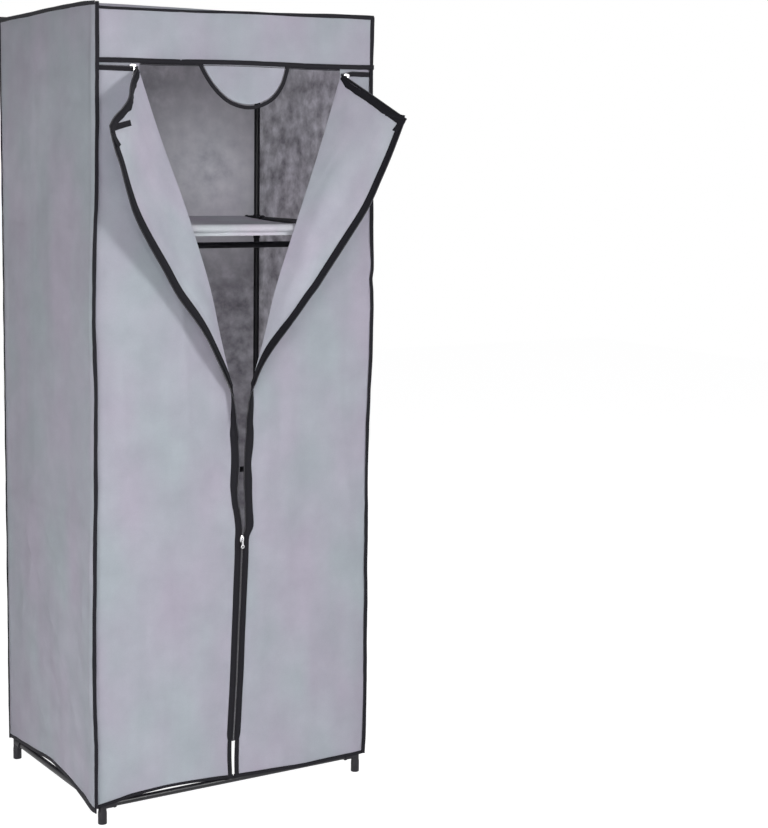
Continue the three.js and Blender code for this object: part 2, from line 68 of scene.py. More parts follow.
# A smooth curve through (place, value) knots
def curveAt(knots, place):
    if place <= knots[0][0]:
        return knots[0][1]
    for index in range(len(knots) - 1):
        (fromPlace, fromValue), (toPlace, toValue) = knots[index], knots[index + 1]
        if place > toPlace:
            continue
        before, after = knots[max(index - 1, 0)], knots[min(index + 2, len(knots) - 1)]
        span = toPlace - fromPlace
        startSlope = (toValue - before[1]) / (toPlace - before[0]) * span
        endSlope = (after[1] - fromValue) / (after[0] - fromPlace) * span
        t = (place - fromPlace) / span
        return ((2 * t**3 - 3 * t**2 + 1) * fromValue + (t**3 - 2 * t**2 + t) * startSlope
                + (3 * t**2 - 2 * t**3) * toValue + (t**3 - t**2) * endSlope)
    return knots[-1][1]


def mix(low, high, share):
    return low + (high - low) * share


def ease(low, high, value):
    share = min(1.0, max(0.0, (value - low) / (high - low)))
    return share * share * (3 - 2 * share)


def bell(value, middle, spread):
    return math.exp(-((value - middle) / spread) ** 2)


# Smooth noise from -1 to 1, with the size of its lumps in millimetres along each direction
def lumps(x, z, sizeX, sizeZ, seed):
    return noise.noise(Vector((x / sizeX + seed * 7.3, z / sizeZ - seed * 3.1, seed * 5.7)))


# Materials

def toLinear(hexColour):
    channels = [int(hexColour[i:i + 2], 16) / 255 for i in (1, 3, 5)]
    return [c / 12.92 if c <= 0.04045 else ((c + 0.055) / 1.055) ** 2.4 for c in channels] + [1.0]


# Adds a node with its settings; an input is a constant or another node's output
def addNode(tree, kind, inputs=None, **settings):
    node = tree.nodes.new("ShaderNode" + kind)
    for name, value in settings.items():
        setattr(node, name, value)
    for socket, value in (inputs or {}).items():
        if isinstance(value, bpy.types.NodeSocket):
            tree.links.new(value, node.inputs[socket])
        else:
            node.inputs[socket].default_value = value
    return node


def newMaterial(name):
    material = bpy.data.materials.new(name)
    material.use_nodes = True
    material.node_tree.nodes.clear()
    return material, material.node_tree


# The faint change of tint that every roll of the cloth shares
clothTint = {"wideMm": 130, "longMm": 300, "rose": "#FFF7FE", "green": "#F5FEFB"}


# The cloth's own colour: clouds, streaks down the roll, patches of tint and the grain of its fibres
def clothColour(tree, cloth, place, cloudShare, fibres):
    streakPlace = addNode(tree, "Mapping", {"Vector": place, "Scale": (1000 / cloth["streakMm"],
                                            1000 / cloth["streakLengthMm"], 1.0)})
    streaks = addNode(tree, "TexNoise", {"Vector": streakPlace.outputs[0], "Scale": 1.0, "Detail": 3.0})
    streakShare = addNode(tree, "MapRange", {0: streaks.outputs["Fac"], 1: 0.25, 2: 0.75})
    shade = addNode(tree, "Mix", {0: cloudShare, 6: toLinear(cloth["dark"]),
                                  7: toLinear(cloth["light"])}, data_type="RGBA")
    streakMix = addNode(tree, "Math", {0: streakShare.outputs[0], 1: cloth["streakDepth"]},
                        operation="MULTIPLY")
    colour = addNode(tree, "Mix", {0: streakMix.outputs[0], 6: shade.outputs[2],
                                   7: toLinear(cloth["streak"])}, data_type="RGBA")
    patchPlace = addNode(tree, "Mapping", {"Vector": place, "Scale": (1000 / clothTint["wideMm"],
                                           1000 / clothTint["longMm"], 1.0)})
    patches = addNode(tree, "TexNoise", {"Vector": patchPlace.outputs[0], "Scale": 1.0, "Detail": 2.0})
    patchShare = addNode(tree, "MapRange", {0: patches.outputs["Fac"], 1: 0.35, 2: 0.65})
    tint = addNode(tree, "Mix", {0: patchShare.outputs[0], 6: toLinear(clothTint["rose"]),
                                 7: toLinear(clothTint["green"])}, data_type="RGBA")
    tinted = addNode(tree, "Mix", {0: 1.0, 6: colour.outputs[2], 7: tint.outputs[2]}, data_type="RGBA",
                     blend_type="MULTIPLY")
    grain = addNode(tree, "MapRange", {0: fibres, 1: 0.3, 2: 0.7, 3: 0.94, 4: 1.06})
    grainy = addNode(tree, "Mix", {0: 1.0, 6: tinted.outputs[2], 7: grain.outputs[0]}, data_type="RGBA",
                     blend_type="MULTIPLY")
    return grainy.outputs[2]


# The light that comes through it; a cloth may have one painted pool of light, ragged at its edge by the
# clouds
def clothGlow(tree, cloth, place, clouds, cloudShare):
    glow = addNode(tree, "Mix", {0: cloudShare, 6: toLinear(cloth["throughDark"]),
                                 7: toLinear(cloth["throughLight"])}, data_type="RGBA")
    if "paintedLightAtMm" in cloth:
        paintedLightSize = cloth["paintedLightMm"] * mm
        fromPaintedLight = addNode(tree, "VectorMath", {0: place, 1: [c * mm for c in cloth["paintedLightAtMm"]]},
                           operation="DISTANCE")
        ragged = addNode(tree, "Math", {0: clouds, 1: paintedLightSize}, operation="MULTIPLY")
        edge = addNode(tree, "Math", {0: fromPaintedLight.outputs["Value"], 1: ragged.outputs[0]},
                       operation="ADD")
        paintedLight = addNode(tree, "MapRange", {0: edge.outputs[0], 1: paintedLightSize * 1.7, 2: paintedLightSize * 0.6, 4: 0.85},
                       interpolation_type="SMOOTHSTEP")
        cloudyPaintedLight = addNode(tree, "Mix", {0: cloudShare, 6: toLinear(cloth["throughPaintedLightDark"]),
                                       7: toLinear(cloth["throughPaintedLight"])}, data_type="RGBA")
        glow = addNode(tree, "Mix", {0: paintedLight.outputs[0], 6: glow.outputs[2], 7: cloudyPaintedLight.outputs[2]},
                       data_type="RGBA")
    return glow.outputs[2]


# Spun-bonded polypropylene: matt, smooth sheet with faint clouds, soft streaks down the roll and tiny
# bonding dots; light shines through it a little. The copies for the inside of the closed cover are painted
# darker, as shade, and their clouds show much more, partly the uneven web and partly painted light.
def spunBondedCloth(name, cloth):
    material, tree = newMaterial(name)
    place = addNode(tree, "TexCoord").outputs["UV"]
    clouds = addNode(tree, "TexNoise", {"Vector": place, "Scale": 1000 / cloth["cloudMm"],
                                        "Detail": 4.0, "Roughness": 0.6}).outputs["Fac"]
    fibres = addNode(tree, "TexNoise", {"Vector": place, "Scale": 1000 / cloth["fibreMm"],
                                        "Detail": 5.0, "Roughness": 0.7}).outputs["Fac"]
    dots = addNode(tree, "TexVoronoi", {"Vector": place, "Scale": 1000 / cloth["dotMm"], "Randomness": 0.25})
    cloudShare = addNode(tree, "MapRange", {0: clouds, 1: 0.3, 2: 0.7}).outputs[0]
    dotBump = addNode(tree, "Bump", {"Strength": 0.25, "Distance": 0.15 * mm,
                                     "Height": dots.outputs["Distance"]})
    fibreBump = addNode(tree, "Bump", {"Strength": 0.3, "Distance": 0.2 * mm, "Height": fibres,
                                       "Normal": dotBump.outputs[0]})
    roughness = addNode(tree, "MapRange", {0: fibres, 1: 0.3, 2: 0.7, 3: 0.72, 4: 0.88})
    surface = addNode(tree, "BsdfPrincipled", {
        "Base Color": clothColour(tree, cloth, place, cloudShare, fibres), "IOR": 1.49,
        "Roughness": roughness.outputs[0], "Specular IOR Level": 0.35, "Sheen Weight": 0.08,
        "Sheen Roughness": 0.5, "Normal": fibreBump.outputs[0]})
    through = addNode(tree, "BsdfTranslucent", {
        "Color": clothGlow(tree, cloth, place, clouds, cloudShare)})
    both = addNode(tree, "MixShader", {0: cloth["lightThrough"], 1: surface.outputs[0],
                                       2: through.outputs[0]})
    addNode(tree, "OutputMaterial", {0: both.outputs[0]})
    return material


coverOutside = spunBondedCloth("spun bonded cover cloth", {
    "light": "#BCBDC6", "dark": "#B0B1BA", "streak": "#A9AAB3", "streakDepth": 0.4, "cloudMm": 90,
    "streakMm": 34, "streakLengthMm": 420, "fibreMm": 3.2, "dotMm": 2.4,
    "lightThrough": 0.3, "throughLight": "#FAFAFC", "throughDark": "#EAEAEE"})
# The cover's inner faces: the same cloth with its colours painted darker, as shade inside the closed cover,
# and strong clouds that are partly painted light coming through
shadedInsideCloth = {
    "light": "#ACAAB0", "dark": "#77747A", "streak": "#858187", "streakDepth": 0.6, "cloudMm": 38,
    "streakMm": 7, "streakLengthMm": 90, "fibreMm": 3.2, "dotMm": 2.4,
    "lightThrough": 0.88, "throughLight": "#E1DEE4", "throughDark": "#8A868D"}
shadedCoverInside = spunBondedCloth("cover cloth inside, painted shade", shadedInsideCloth)
# The back's inside: the same painted shade, and a painted pool of light above the shelf, where the through
# colour is brighter
backInsideShadeAndLight = spunBondedCloth("back cloth inside, painted shade and light",
                             {**shadedInsideCloth, "throughLight": "#C8C5CB", "throughDark": "#7C7980",
                              "throughPaintedLight": "#FEFDFF", "throughPaintedLightDark": "#DDDCE2",
                              "paintedLightAtMm": (128, 1235, 0), "paintedLightMm": 235})
# The doors' inner faces, seen on the turned-out lapels: the same cloth painted lighter than its outside, as
# painted light
litDoorInside = spunBondedCloth("door cloth inside, painted light", {
    "light": "#CDCED6", "dark": "#C2C3CC", "streak": "#B9BAC3", "streakDepth": 0.4, "cloudMm": 70,
    "streakMm": 30, "streakLengthMm": 300, "fibreMm": 3.2, "dotMm": 2.4,
    "lightThrough": 0.4, "throughLight": "#FAFAFC", "throughDark": "#EAEAEE"})
# The shelf's cloth: a pale cloth, with its colours painted lighter still as painted light on the sheet's
# dimly lit top
shelfFabricPaintedLighter = spunBondedCloth("spun bonded shelf cloth, painted lighter", {
    "light": "#D5D4DA", "dark": "#C9C8CE", "streak": "#C0BFC5", "streakDepth": 0.35, "cloudMm": 60,
    "streakMm": 26, "streakLengthMm": 200, "fibreMm": 3.0, "dotMm": 2.4,
    "lightThrough": 0.2, "throughLight": "#F6F6F8", "throughDark": "#E8E8EC"})


# A row of stitches along a tape: 1 on the thread, 0 beside it
def stitchRow(tree, tape, place):
    split = addNode(tree, "SeparateXYZ", {0: place})
    stitchPhase = addNode(tree, "Math", {0: split.outputs[0], 1: 1000 / tape["stitchMm"]},
                          operation="MULTIPLY")
    stitchTurn = addNode(tree, "Math", {0: stitchPhase.outputs[0]}, operation="FRACT")
    stitchLong = addNode(tree, "MapRange", {0: stitchTurn.outputs[0], 1: 0.62, 2: 0.7, 3: 1.0, 4: 0.0})
    offLine = addNode(tree, "Math", {0: split.outputs[1], 1: -tape["stitchInsetMm"] * mm}, operation="ADD")
    offLineSize = addNode(tree, "Math", {0: offLine.outputs[0]}, operation="ABSOLUTE")
    stitchWide = addNode(tree, "MapRange", {0: offLineSize.outputs[0], 1: 0.25 * mm, 2: 0.5 * mm,
                                            3: 1.0, 4: 0.0})
    stitch = addNode(tree, "Math", {0: stitchLong.outputs[0], 1: stitchWide.outputs[0]},
                     operation="MULTIPLY")
    return stitch.outputs[0]


# Folded non-woven edge tape, dyed black: matt, with fine ribs along it and a row of stitches
def edgeTape(name, tape):
    material, tree = newMaterial(name)
    place = addNode(tree, "TexCoord").outputs["UV"]
    waveScale = math.tau / 20 * 1000 / tape["ribMm"]  # at scale 1 a wave is tau / 20 long
    ribs = addNode(tree, "TexWave", {"Vector": place, "Scale": waveScale, "Distortion": 0.6,
                                     "Detail": 1.0}, bands_direction="Y")
    fuzz = addNode(tree, "TexNoise", {"Vector": place, "Scale": 1000 / tape["fuzzMm"], "Detail": 5.0})
    stitch = stitchRow(tree, tape, place)
    fuzzShare = addNode(tree, "MapRange", {0: fuzz.outputs["Fac"], 1: 0.35, 2: 0.65})
    ground = addNode(tree, "Mix", {0: fuzzShare.outputs[0], 6: toLinear(tape["dark"]),
                                   7: toLinear(tape["light"])}, data_type="RGBA")
    colour = addNode(tree, "Mix", {0: stitch, 6: ground.outputs[2],
                                   7: toLinear(tape["thread"])}, data_type="RGBA")
    ribBump = addNode(tree, "Bump", {"Strength": 0.35, "Distance": 0.15 * mm, "Height": ribs.outputs["Fac"]})
    stitchBump = addNode(tree, "Bump", {"Strength": 0.8, "Distance": 0.4 * mm, "Height": stitch,
                                        "Normal": ribBump.outputs[0]})
    roughness = addNode(tree, "MapRange", {0: fuzz.outputs["Fac"], 1: 0.3, 2: 0.7, 3: 0.62, 4: 0.8})
    surface = addNode(tree, "BsdfPrincipled", {
        "Base Color": colour.outputs[2], "Roughness": roughness.outputs[0], "IOR": 1.49,
        "Specular IOR Level": 0.16, "Sheen Weight": 0.03, "Sheen Roughness": 0.45,
        "Normal": stitchBump.outputs[0]})
    addNode(tree, "OutputMaterial", {0: surface.outputs[0]})
    return material


bindingTape = edgeTape("black folded edge tape", {
    "light": "#1B1A20", "dark": "#131217", "thread": "#26252C", "ribMm": 2.17, "fuzzMm": 4,
    "stitchMm": 3.2, "stitchInsetMm": 2.6})
zipTape = edgeTape("black woven zip tape", {
    "light": "#19181D", "dark": "#111015", "thread": "#222128", "ribMm": 1.58, "fuzzMm": 2.5,
    "stitchMm": 2.4, "stitchInsetMm": 1.2})


enamel = {"dark": "#100F13", "light": "#19181D", "peelMm": 3.125, "rubMm": 71.43}


# Black enamel baked on thin steel tube: satin, with a faint orange peel and soft rubbed places
def bakedEnamel():
    material, tree = newMaterial("black enamelled steel")
    place = addNode(tree, "TexCoord").outputs["Object"]
    peel = addNode(tree, "TexNoise", {"Vector": place, "Scale": 1000 / enamel["peelMm"], "Detail": 2.0})
    rubbed = addNode(tree, "TexNoise", {"Vector": place, "Scale": 1000 / enamel["rubMm"], "Detail": 4.0})
    share = addNode(tree, "MapRange", {0: rubbed.outputs["Fac"], 1: 0.35, 2: 0.7})
    colour = addNode(tree, "Mix", {0: share.outputs[0], 6: toLinear(enamel["dark"]),
                                   7: toLinear(enamel["light"])}, data_type="RGBA")
    roughness = addNode(tree, "MapRange", {0: rubbed.outputs["Fac"], 1: 0.3, 2: 0.75, 3: 0.34, 4: 0.48})
    bump = addNode(tree, "Bump", {"Strength": 0.12, "Distance": 0.1 * mm, "Height": peel.outputs["Fac"]})
    surface = addNode(tree, "BsdfPrincipled", {
        "Base Color": colour.outputs[2], "Roughness": roughness.outputs[0], "IOR": 1.52,
        "Specular IOR Level": 0.3, "Coat Weight": 0.1, "Coat Roughness": 0.25, "Normal": bump.outputs[0]})
    addNode(tree, "OutputMaterial", {0: surface.outputs[0]})
    return material


plastic = {"dark": "#1A191D", "light": "#232227", "grainMm": 1.111, "flowMm": 25}


# Charcoal polypropylene, injection moulded against a finely spark-eroded tool: satin with a dry grain,
# drawn coarser than the real one so that it shows
def mouldedPlastic():
    material, tree = newMaterial("charcoal moulded polypropylene")
    place = addNode(tree, "TexCoord").outputs["Object"]
    grain = addNode(tree, "TexNoise", {"Vector": place, "Scale": 1000 / plastic["grainMm"], "Detail": 3.0})
    flow = addNode(tree, "TexNoise", {"Vector": place, "Scale": 1000 / plastic["flowMm"], "Detail": 3.0,
                                      "Distortion": 0.8})
    share = addNode(tree, "MapRange", {0: flow.outputs["Fac"], 1: 0.35, 2: 0.65})
    colour = addNode(tree, "Mix", {0: share.outputs[0], 6: toLinear(plastic["dark"]),
                                   7: toLinear(plastic["light"])}, data_type="RGBA")
    roughness = addNode(tree, "MapRange", {0: flow.outputs["Fac"], 1: 0.3, 2: 0.7, 3: 0.46, 4: 0.6})
    bump = addNode(tree, "Bump", {"Strength": 0.3, "Distance": 0.12 * mm, "Height": grain.outputs["Fac"]})
    surface = addNode(tree, "BsdfPrincipled", {
        "Base Color": colour.outputs[2], "Roughness": roughness.outputs[0], "IOR": 1.49,
        "Specular IOR Level": 0.3, "Normal": bump.outputs[0]})
    addNode(tree, "OutputMaterial", {0: surface.outputs[0]})
    return material


zinc = {"dark": "#C9C9CC", "light": "#E2E2E4", "castMm": 2, "scratchMm": (0.3846, 1.111, 3.333),
        "scratchTurn": (0.4, 0.2, 0.7)}


# Zinc die casting with bright nickel plating: silver, softly mirror-like, with tiny handling scratches
def platedZinc():
    material, tree = newMaterial("nickel plated zinc")
    place = addNode(tree, "TexCoord").outputs["Object"]
    cast = addNode(tree, "TexNoise", {"Vector": place, "Scale": 1000 / zinc["castMm"], "Detail": 4.0})
    scratchPlace = addNode(tree, "Mapping", {"Vector": place, "Rotation": zinc["scratchTurn"],
                                             "Scale": [1000 / size for size in zinc["scratchMm"]]})
    scratches = addNode(tree, "TexNoise", {"Vector": scratchPlace.outputs[0], "Scale": 1.0, "Detail": 2.0})
    share = addNode(tree, "MapRange", {0: cast.outputs["Fac"], 1: 0.3, 2: 0.7})
    colour = addNode(tree, "Mix", {0: share.outputs[0], 6: toLinear(zinc["dark"]),
                                   7: toLinear(zinc["light"])}, data_type="RGBA")
    roughness = addNode(tree, "MapRange", {0: scratches.outputs["Fac"], 1: 0.3, 2: 0.7, 3: 0.16, 4: 0.34})
    bump = addNode(tree, "Bump", {"Strength": 0.15, "Distance": 0.05 * mm, "Height": cast.outputs["Fac"]})
    surface = addNode(tree, "BsdfPrincipled", {
        "Base Color": colour.outputs[2], "Metallic": 1.0, "Roughness": roughness.outputs[0],
        "Normal": bump.outputs[0]})
    addNode(tree, "OutputMaterial", {0: surface.outputs[0]})
    return material


coil = {"dark": "#1C1B21", "light": "#34333B", "rubMm": 16.67}


# Nylon coil of the zip: black, a little shiny, with lighter rubbed places
def nylonCoil():
    material, tree = newMaterial("black nylon coil")
    place = addNode(tree, "TexCoord").outputs["Object"]
    rub = addNode(tree, "TexNoise", {"Vector": place, "Scale": 1000 / coil["rubMm"], "Detail": 3.0})
    share = addNode(tree, "MapRange", {0: rub.outputs["Fac"], 1: 0.4, 2: 0.7})
    colour = addNode(tree, "Mix", {0: share.outputs[0], 6: toLinear(coil["dark"]),
                                   7: toLinear(coil["light"])}, data_type="RGBA")
    surface = addNode(tree, "BsdfPrincipled", {"Base Color": colour.outputs[2], "Roughness": 0.38,
                                               "IOR": 1.53})
    addNode(tree, "OutputMaterial", {0: surface.outputs[0]})
    return material


enamelledSteel, charcoalPlastic = bakedEnamel(), mouldedPlastic()
silverZinc, coilNylon = platedZinc(), nylonCoil()
print("materials made")


# Making and finishing pieces

def selectOnly(*pieces):
    bpy.ops.object.select_all(action="DESELECT")
    for piece in pieces:
        piece.select_set(True)
    bpy.context.view_layer.objects.active = pieces[0]


def meshPiece(name, vertices, faces):
    mesh = bpy.data.meshes.new(name)
    mesh.from_pydata([tuple(v) for v in vertices], [], faces)
    piece = bpy.data.objects.new(name, mesh)
    bpy.context.scene.collection.objects.link(piece)
    return piece


def applyModifier(piece, kind, **settings):
    selectOnly(piece)
    modifier = piece.modifiers.new(kind.lower(), kind)
    for name, value in settings.items():
        setattr(modifier, name, value)
    bpy.ops.object.modifier_apply(modifier=modifier.name)


def facesOutward(piece):
    selectOnly(piece)
    bpy.ops.object.mode_set(mode="EDIT")
    bpy.ops.mesh.select_all(action="SELECT")
    bpy.ops.mesh.remove_doubles(threshold=0.00001)
    bpy.ops.mesh.normals_make_consistent(inside=False)
    bpy.ops.object.mode_set(mode="OBJECT")


def smoothed(piece, degrees):
    selectOnly(piece)
    bpy.ops.object.shade_smooth_by_angle(angle=math.radians(degrees))
    return piece


def painted(piece, *materials):
    piece.data.materials.clear()
    for material in materials:
        piece.data.materials.append(material)
    return piece


# A copy with its own mesh, placed by a matrix; a mirroring one has its faces turned round
def placedCopy(master, name, matrix):
    copy = bpy.data.objects.new(name, master.data.copy())
    bpy.context.scene.collection.objects.link(copy)
    copy.data.transform(matrix)
    if matrix.determinant() < 0:
        copy.data.flip_normals()
    return copy


def joined(pieces, name):
    selectOnly(*pieces)
    bpy.ops.object.join()
    pieces[0].name = name
    pieces[0].data.name = name
    return pieces[0]


def combine(base, others, operation):
    for other in others:
        applyModifier(base, "BOOLEAN", object=other, operation=operation, solver="EXACT")
        bpy.data.objects.remove(other)
    return base


# A round body along z: a filled circle, extruded and widened from one (radius, height) to the next
def turnedBody(name, profile, sides=32):
    bpy.ops.mesh.primitive_circle_add(vertices=sides, radius=profile[0][0] * mm, fill_type="NGON",
                                      location=(0, 0, 0))
    piece = bpy.context.active_object
    piece.name = name
    bpy.ops.object.mode_set(mode="EDIT")
    bpy.ops.mesh.select_all(action="SELECT")
    bpy.ops.transform.translate(value=(0, 0, profile[0][1] * mm))
    for (fromRadius, fromHeight), (toRadius, toHeight) in zip(profile, profile[1:]):
        bpy.ops.mesh.extrude_region_move(
            TRANSFORM_OT_translate={"value": (0, 0, (toHeight - fromHeight) * mm)})
        widen = toRadius / fromRadius
        bpy.ops.transform.resize(value=(widen, widen, 1))
    bpy.ops.object.mode_set(mode="OBJECT")
    facesOutward(piece)
    return piece


# A flat body: an outline of (x, z) points, extruded along -y from the plane y, with its edges eased
def outlineBody(name, outline, y, thickness, bevel=0.3):
    piece = meshPiece(name, [Vector((x, y, z)) * mm for x, z in outline], [tuple(range(len(outline)))])
    selectOnly(piece)
    bpy.ops.object.mode_set(mode="EDIT")
    bpy.ops.mesh.select_all(action="SELECT")
    bpy.ops.mesh.extrude_region_move(TRANSFORM_OT_translate={"value": (0, -thickness * mm, 0)})
    bpy.ops.object.mode_set(mode="OBJECT")
    facesOutward(piece)
    if bevel:
        applyModifier(piece, "BEVEL", width=bevel * mm, segments=2, limit_method="ANGLE",
                      angle_limit=math.radians(35))
    return piece


# Turns a body that stands along z to lie along x or y
alongX, alongY = Matrix.Rotation(math.pi / 2, 4, "Y"), Matrix.Rotation(-math.pi / 2, 4, "X")
mirrorX, mirrorY = Matrix.Diagonal((-1, 1, 1, 1)), Matrix.Diagonal((1, -1, 1, 1))
asDrawn = Matrix.Identity(4)
halfTurn = Matrix.Rotation(math.pi, 4, "X")


def ridingFrame(piece, slot, *nodes):
    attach(piece, "frame_and_cover")
    if nodes:
        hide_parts(*nodes)
    return piece


# Steel tubes

tube = {"radius": 6.5, "wall": 0.8, "sides": 32}


def tubeMaster():
    bpy.ops.mesh.primitive_cylinder_add(vertices=tube["sides"], radius=tube["radius"] * mm, depth=1,
                                        end_fill_type="NOTHING", location=(0, 0, 0))
    piece = bpy.context.active_object
    applyModifier(piece, "SOLIDIFY", thickness=tube["wall"] * mm, offset=-1)
    return painted(smoothed(piece, 35), enamelledSteel)


def makeTubes():
    master = tubeMaster()
    nodes = [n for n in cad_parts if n.startswith("post_") or "_rail" in n]
    for node in sorted(nodes):
        low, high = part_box(node)
        size, middle = high - low, (low + high) / 2
        longest = max(range(3), key=lambda axis: size[axis])
        turn = (alongX, alongY, asDrawn)[longest]
        stretch = Matrix.Diagonal((1, 1, size[longest], 1))
        piece = placedCopy(master, f"{node}_tube", Matrix.Translation(middle) @ turn @ stretch)
        ridingFrame(piece, "tube", node)
    bpy.data.objects.remove(master)
    return len(nodes)


print("tubes made:", makeTubes())


# Plastic connectors. The master has its arms towards -x and -y, as at the back right corner.

connector = {
    "sleeve": 8.25, "collar": 9.25, "arm": 28, "collarLength": 4, "bore": 6.8, "stop": 9.5,
    "mouth": 7.45, "sleeveDrop": 44, "jointDrop": 27, "shoulder": 10, "foot": 9, "footDrop": 38,
    "spigot": 5.4, "spigotTop": 35, "overrun": 2,
}


def uprightProfile(below, above):
    c = connector
    wall = c["sleeve"]
    lower = {
        "sleeve": [(c["mouth"] - 0.3, -c["sleeveDrop"]), (c["mouth"], 0.4 - c["sleeveDrop"]),
                   (wall, 6 - c["sleeveDrop"])],
        "joint": [(c["mouth"] - 0.3, -c["jointDrop"]), (c["mouth"], 0.4 - c["jointDrop"]),
                  (wall, 6 - c["jointDrop"])],
        "foot": [(c["foot"] - 1.2, -c["footDrop"]), (c["foot"] - 0.35, 0.35 - c["footDrop"]),
                 (c["foot"], 1.2 - c["footDrop"]), (c["foot"], -15), (wall, -10)],
    }[below]
    upper = {
        "spigot": [(wall, c["shoulder"] - 0.6), (wall - 0.5, c["shoulder"])],
        "cap": [(wall, c["shoulder"] - 1.8), (wall - 0.4, c["shoulder"] - 0.7),
                (wall - 1.5, c["shoulder"])],
        "joint": [(wall, c["jointDrop"] - 6), (c["mouth"], c["jointDrop"] - 0.4),
                  (c["mouth"] - 0.3, c["jointDrop"])],
    }[above]
    return lower + upper


def armBody():
    c = connector
    step = c["arm"] - c["collarLength"]
    return turnedBody("arm", [(c["sleeve"], 0), (c["sleeve"], step - 0.3), (c["collar"] - 0.4, step),
                              (c["collar"], step + 0.4), (c["collar"], c["arm"] - 0.5),
                              (c["collar"] - 0.5, c["arm"])])


def boreBody(low, high):
    return turnedBody("bore", [(connector["bore"], low), (connector["bore"], high)])


def connectorMaster(name, below, above, armAlongX):
    c = connector
    body = turnedBody(name, uprightProfile(below, above))
    joins, cuts = [], []
    if above == "spigot":
        joins.append(turnedBody("spigot", [(c["spigot"], 2), (c["spigot"], c["spigotTop"] - 1.5),
                                           (c["spigot"] - 1, c["spigotTop"])]))
    for along in (alongY, alongX)[:2 if armAlongX else 1]:
        for piece, shapes in ((armBody(), joins), (boreBody(c["stop"], c["arm"] + c["overrun"]), cuts)):
            piece.data.transform(along @ halfTurn)
            shapes.append(piece)
    drops = {"sleeve": c["sleeveDrop"], "joint": c["jointDrop"]}
    if below in drops:
        cuts.append(boreBody(-drops[below] - c["overrun"], -c["stop"]))
    if above == "joint":
        cuts.append(boreBody(c["stop"], c["jointDrop"] + c["overrun"]))
    combine(body, joins, "UNION")
    combine(body, cuts, "DIFFERENCE")
    return painted(smoothed(body, 32), charcoalPlastic)


def makeConnectors():
    kinds = {
        "foot": ("foot", "spigot", True), "middle_back": ("sleeve", "spigot", True),
        "middle_front": ("joint", "joint", False), "shelf": ("sleeve", "spigot", True),
        "top": ("sleeve", "cap", True),
    }
    masters = {name: connectorMaster(name, *kind) for name, kind in kinds.items()}
    for level, height in frameLines["levels"].items():
        for row, y in (("front", -frameLines["postY"]), ("back", frameLines["postY"])):
            for side, sign in sideSign.items():
                node = f"{level}_connector_{row}_{side}"
                master = masters.get(level) or masters[f"{level}_{row}"]
                turn = (mirrorX if side == "left" else asDrawn) @ (mirrorY if row == "front" else asDrawn)
                corner = Matrix.Translation(at(sign * frameLines["postX"], y, height))
                piece = placedCopy(master, f"{node}_moulding", corner @ turn)
                ridingFrame(piece, "connector", node)
    for master in masters.values():
        bpy.data.objects.remove(master)


makeConnectors()
print("connectors made")


# Hanging rail brackets: a clip round the side shelf rail, a ribbed gusset and a socket.
# The master is drawn for the right side, with x towards the inside of the wardrobe negative.

bracket = {"clipRadius": 11, "clipFlat": 8.2, "clipWidth": 16, "drop": 46, "wallX": -2,
           "socketLength": 36, "socketFloor": 5, "reach": -30, "top": -8, "waist": -13, "web": 5,
           "plate": 3, "plateWidth": 16.4, "plateDrop": 1.5, "ribX": -8, "rib": 2, "ribWidth": 9}


def bracketMaster():
    b, c = bracket, connector
    half = b["clipWidth"] / 2
    clip = turnedBody("bracket", [(b["clipRadius"] - 0.8, -half), (b["clipRadius"], 0.8 - half),
                                  (b["clipRadius"], half - 0.8), (b["clipRadius"] - 0.8, half)])
    clip.data.transform(alongY)
    selectOnly(clip)
    bpy.ops.object.mode_set(mode="EDIT")
    bpy.ops.mesh.select_all(action="SELECT")
    bpy.ops.mesh.bisect(plane_co=(b["clipFlat"] * mm, 0, 0), plane_no=(1, 0, 0), use_fill=True,
                        clear_outer=True)
    bpy.ops.object.mode_set(mode="OBJECT")
    wallX, top, bottom = b["wallX"], b["top"], -b["drop"] - tube["radius"]
    web = outlineBody("web", [(wallX, top), (b["waist"], top), (b["reach"], 4 - b["drop"]),
                              (b["reach"], bottom), (wallX, bottom)], b["web"] / 2, b["web"], 0.5)
    plateX, plateBottom = wallX - b["plate"], bottom - b["plateDrop"]
    plate = outlineBody("plate", [(wallX, top), (plateX, top), (plateX, plateBottom), (wallX, plateBottom)],
                        b["plateWidth"] / 2, b["plateWidth"], 0.6)
    rib = outlineBody("rib", [(b["ribX"], top - 2), (b["ribX"] - b["rib"], top - 2),
                              (b["ribX"] - b["rib"], bottom), (b["ribX"], bottom)],
                      b["ribWidth"] / 2, b["ribWidth"], 0.4)
    socket = turnedBody("socket", [(c["sleeve"], -wallX), (c["sleeve"], b["socketLength"] - 0.5),
                                   (c["sleeve"] - 0.5, b["socketLength"])])
    bore = boreBody(b["socketFloor"], b["socketLength"] + c["overrun"])
    for piece in (socket, bore):
        piece.data.transform(Matrix.Translation((0, 0, -b["drop"] * mm)) @ alongX @ halfTurn)
    railBore = boreBody(-b["clipWidth"], b["clipWidth"])
    railBore.data.transform(alongY)
    combine(clip, [web, plate, rib, socket], "UNION")
    combine(clip, [railBore, bore], "DIFFERENCE")
    return painted(smoothed(clip, 32), charcoalPlastic)


def makeBrackets():
    master = bracketMaster()
    for side, turn in (("left", mirrorX), ("right", asDrawn)):
        node = f"hanging_bracket_{side}"
        railAt = at(sideSign[side] * frameLines["postX"], 0, frameLines["levels"]["shelf"])
        piece = placedCopy(master, f"{node}_moulding", Matrix.Translation(railAt) @ turn)
        ridingFrame(piece, "connector", node)
    bpy.data.objects.remove(master)


makeBrackets()
print("brackets made")


# Cloth sheets. pointAt(u, v) gives a place and flatAt(u, v) the same point on the flat cut, in
# millimetres. Seen from outside, u runs to the right and v upwards.

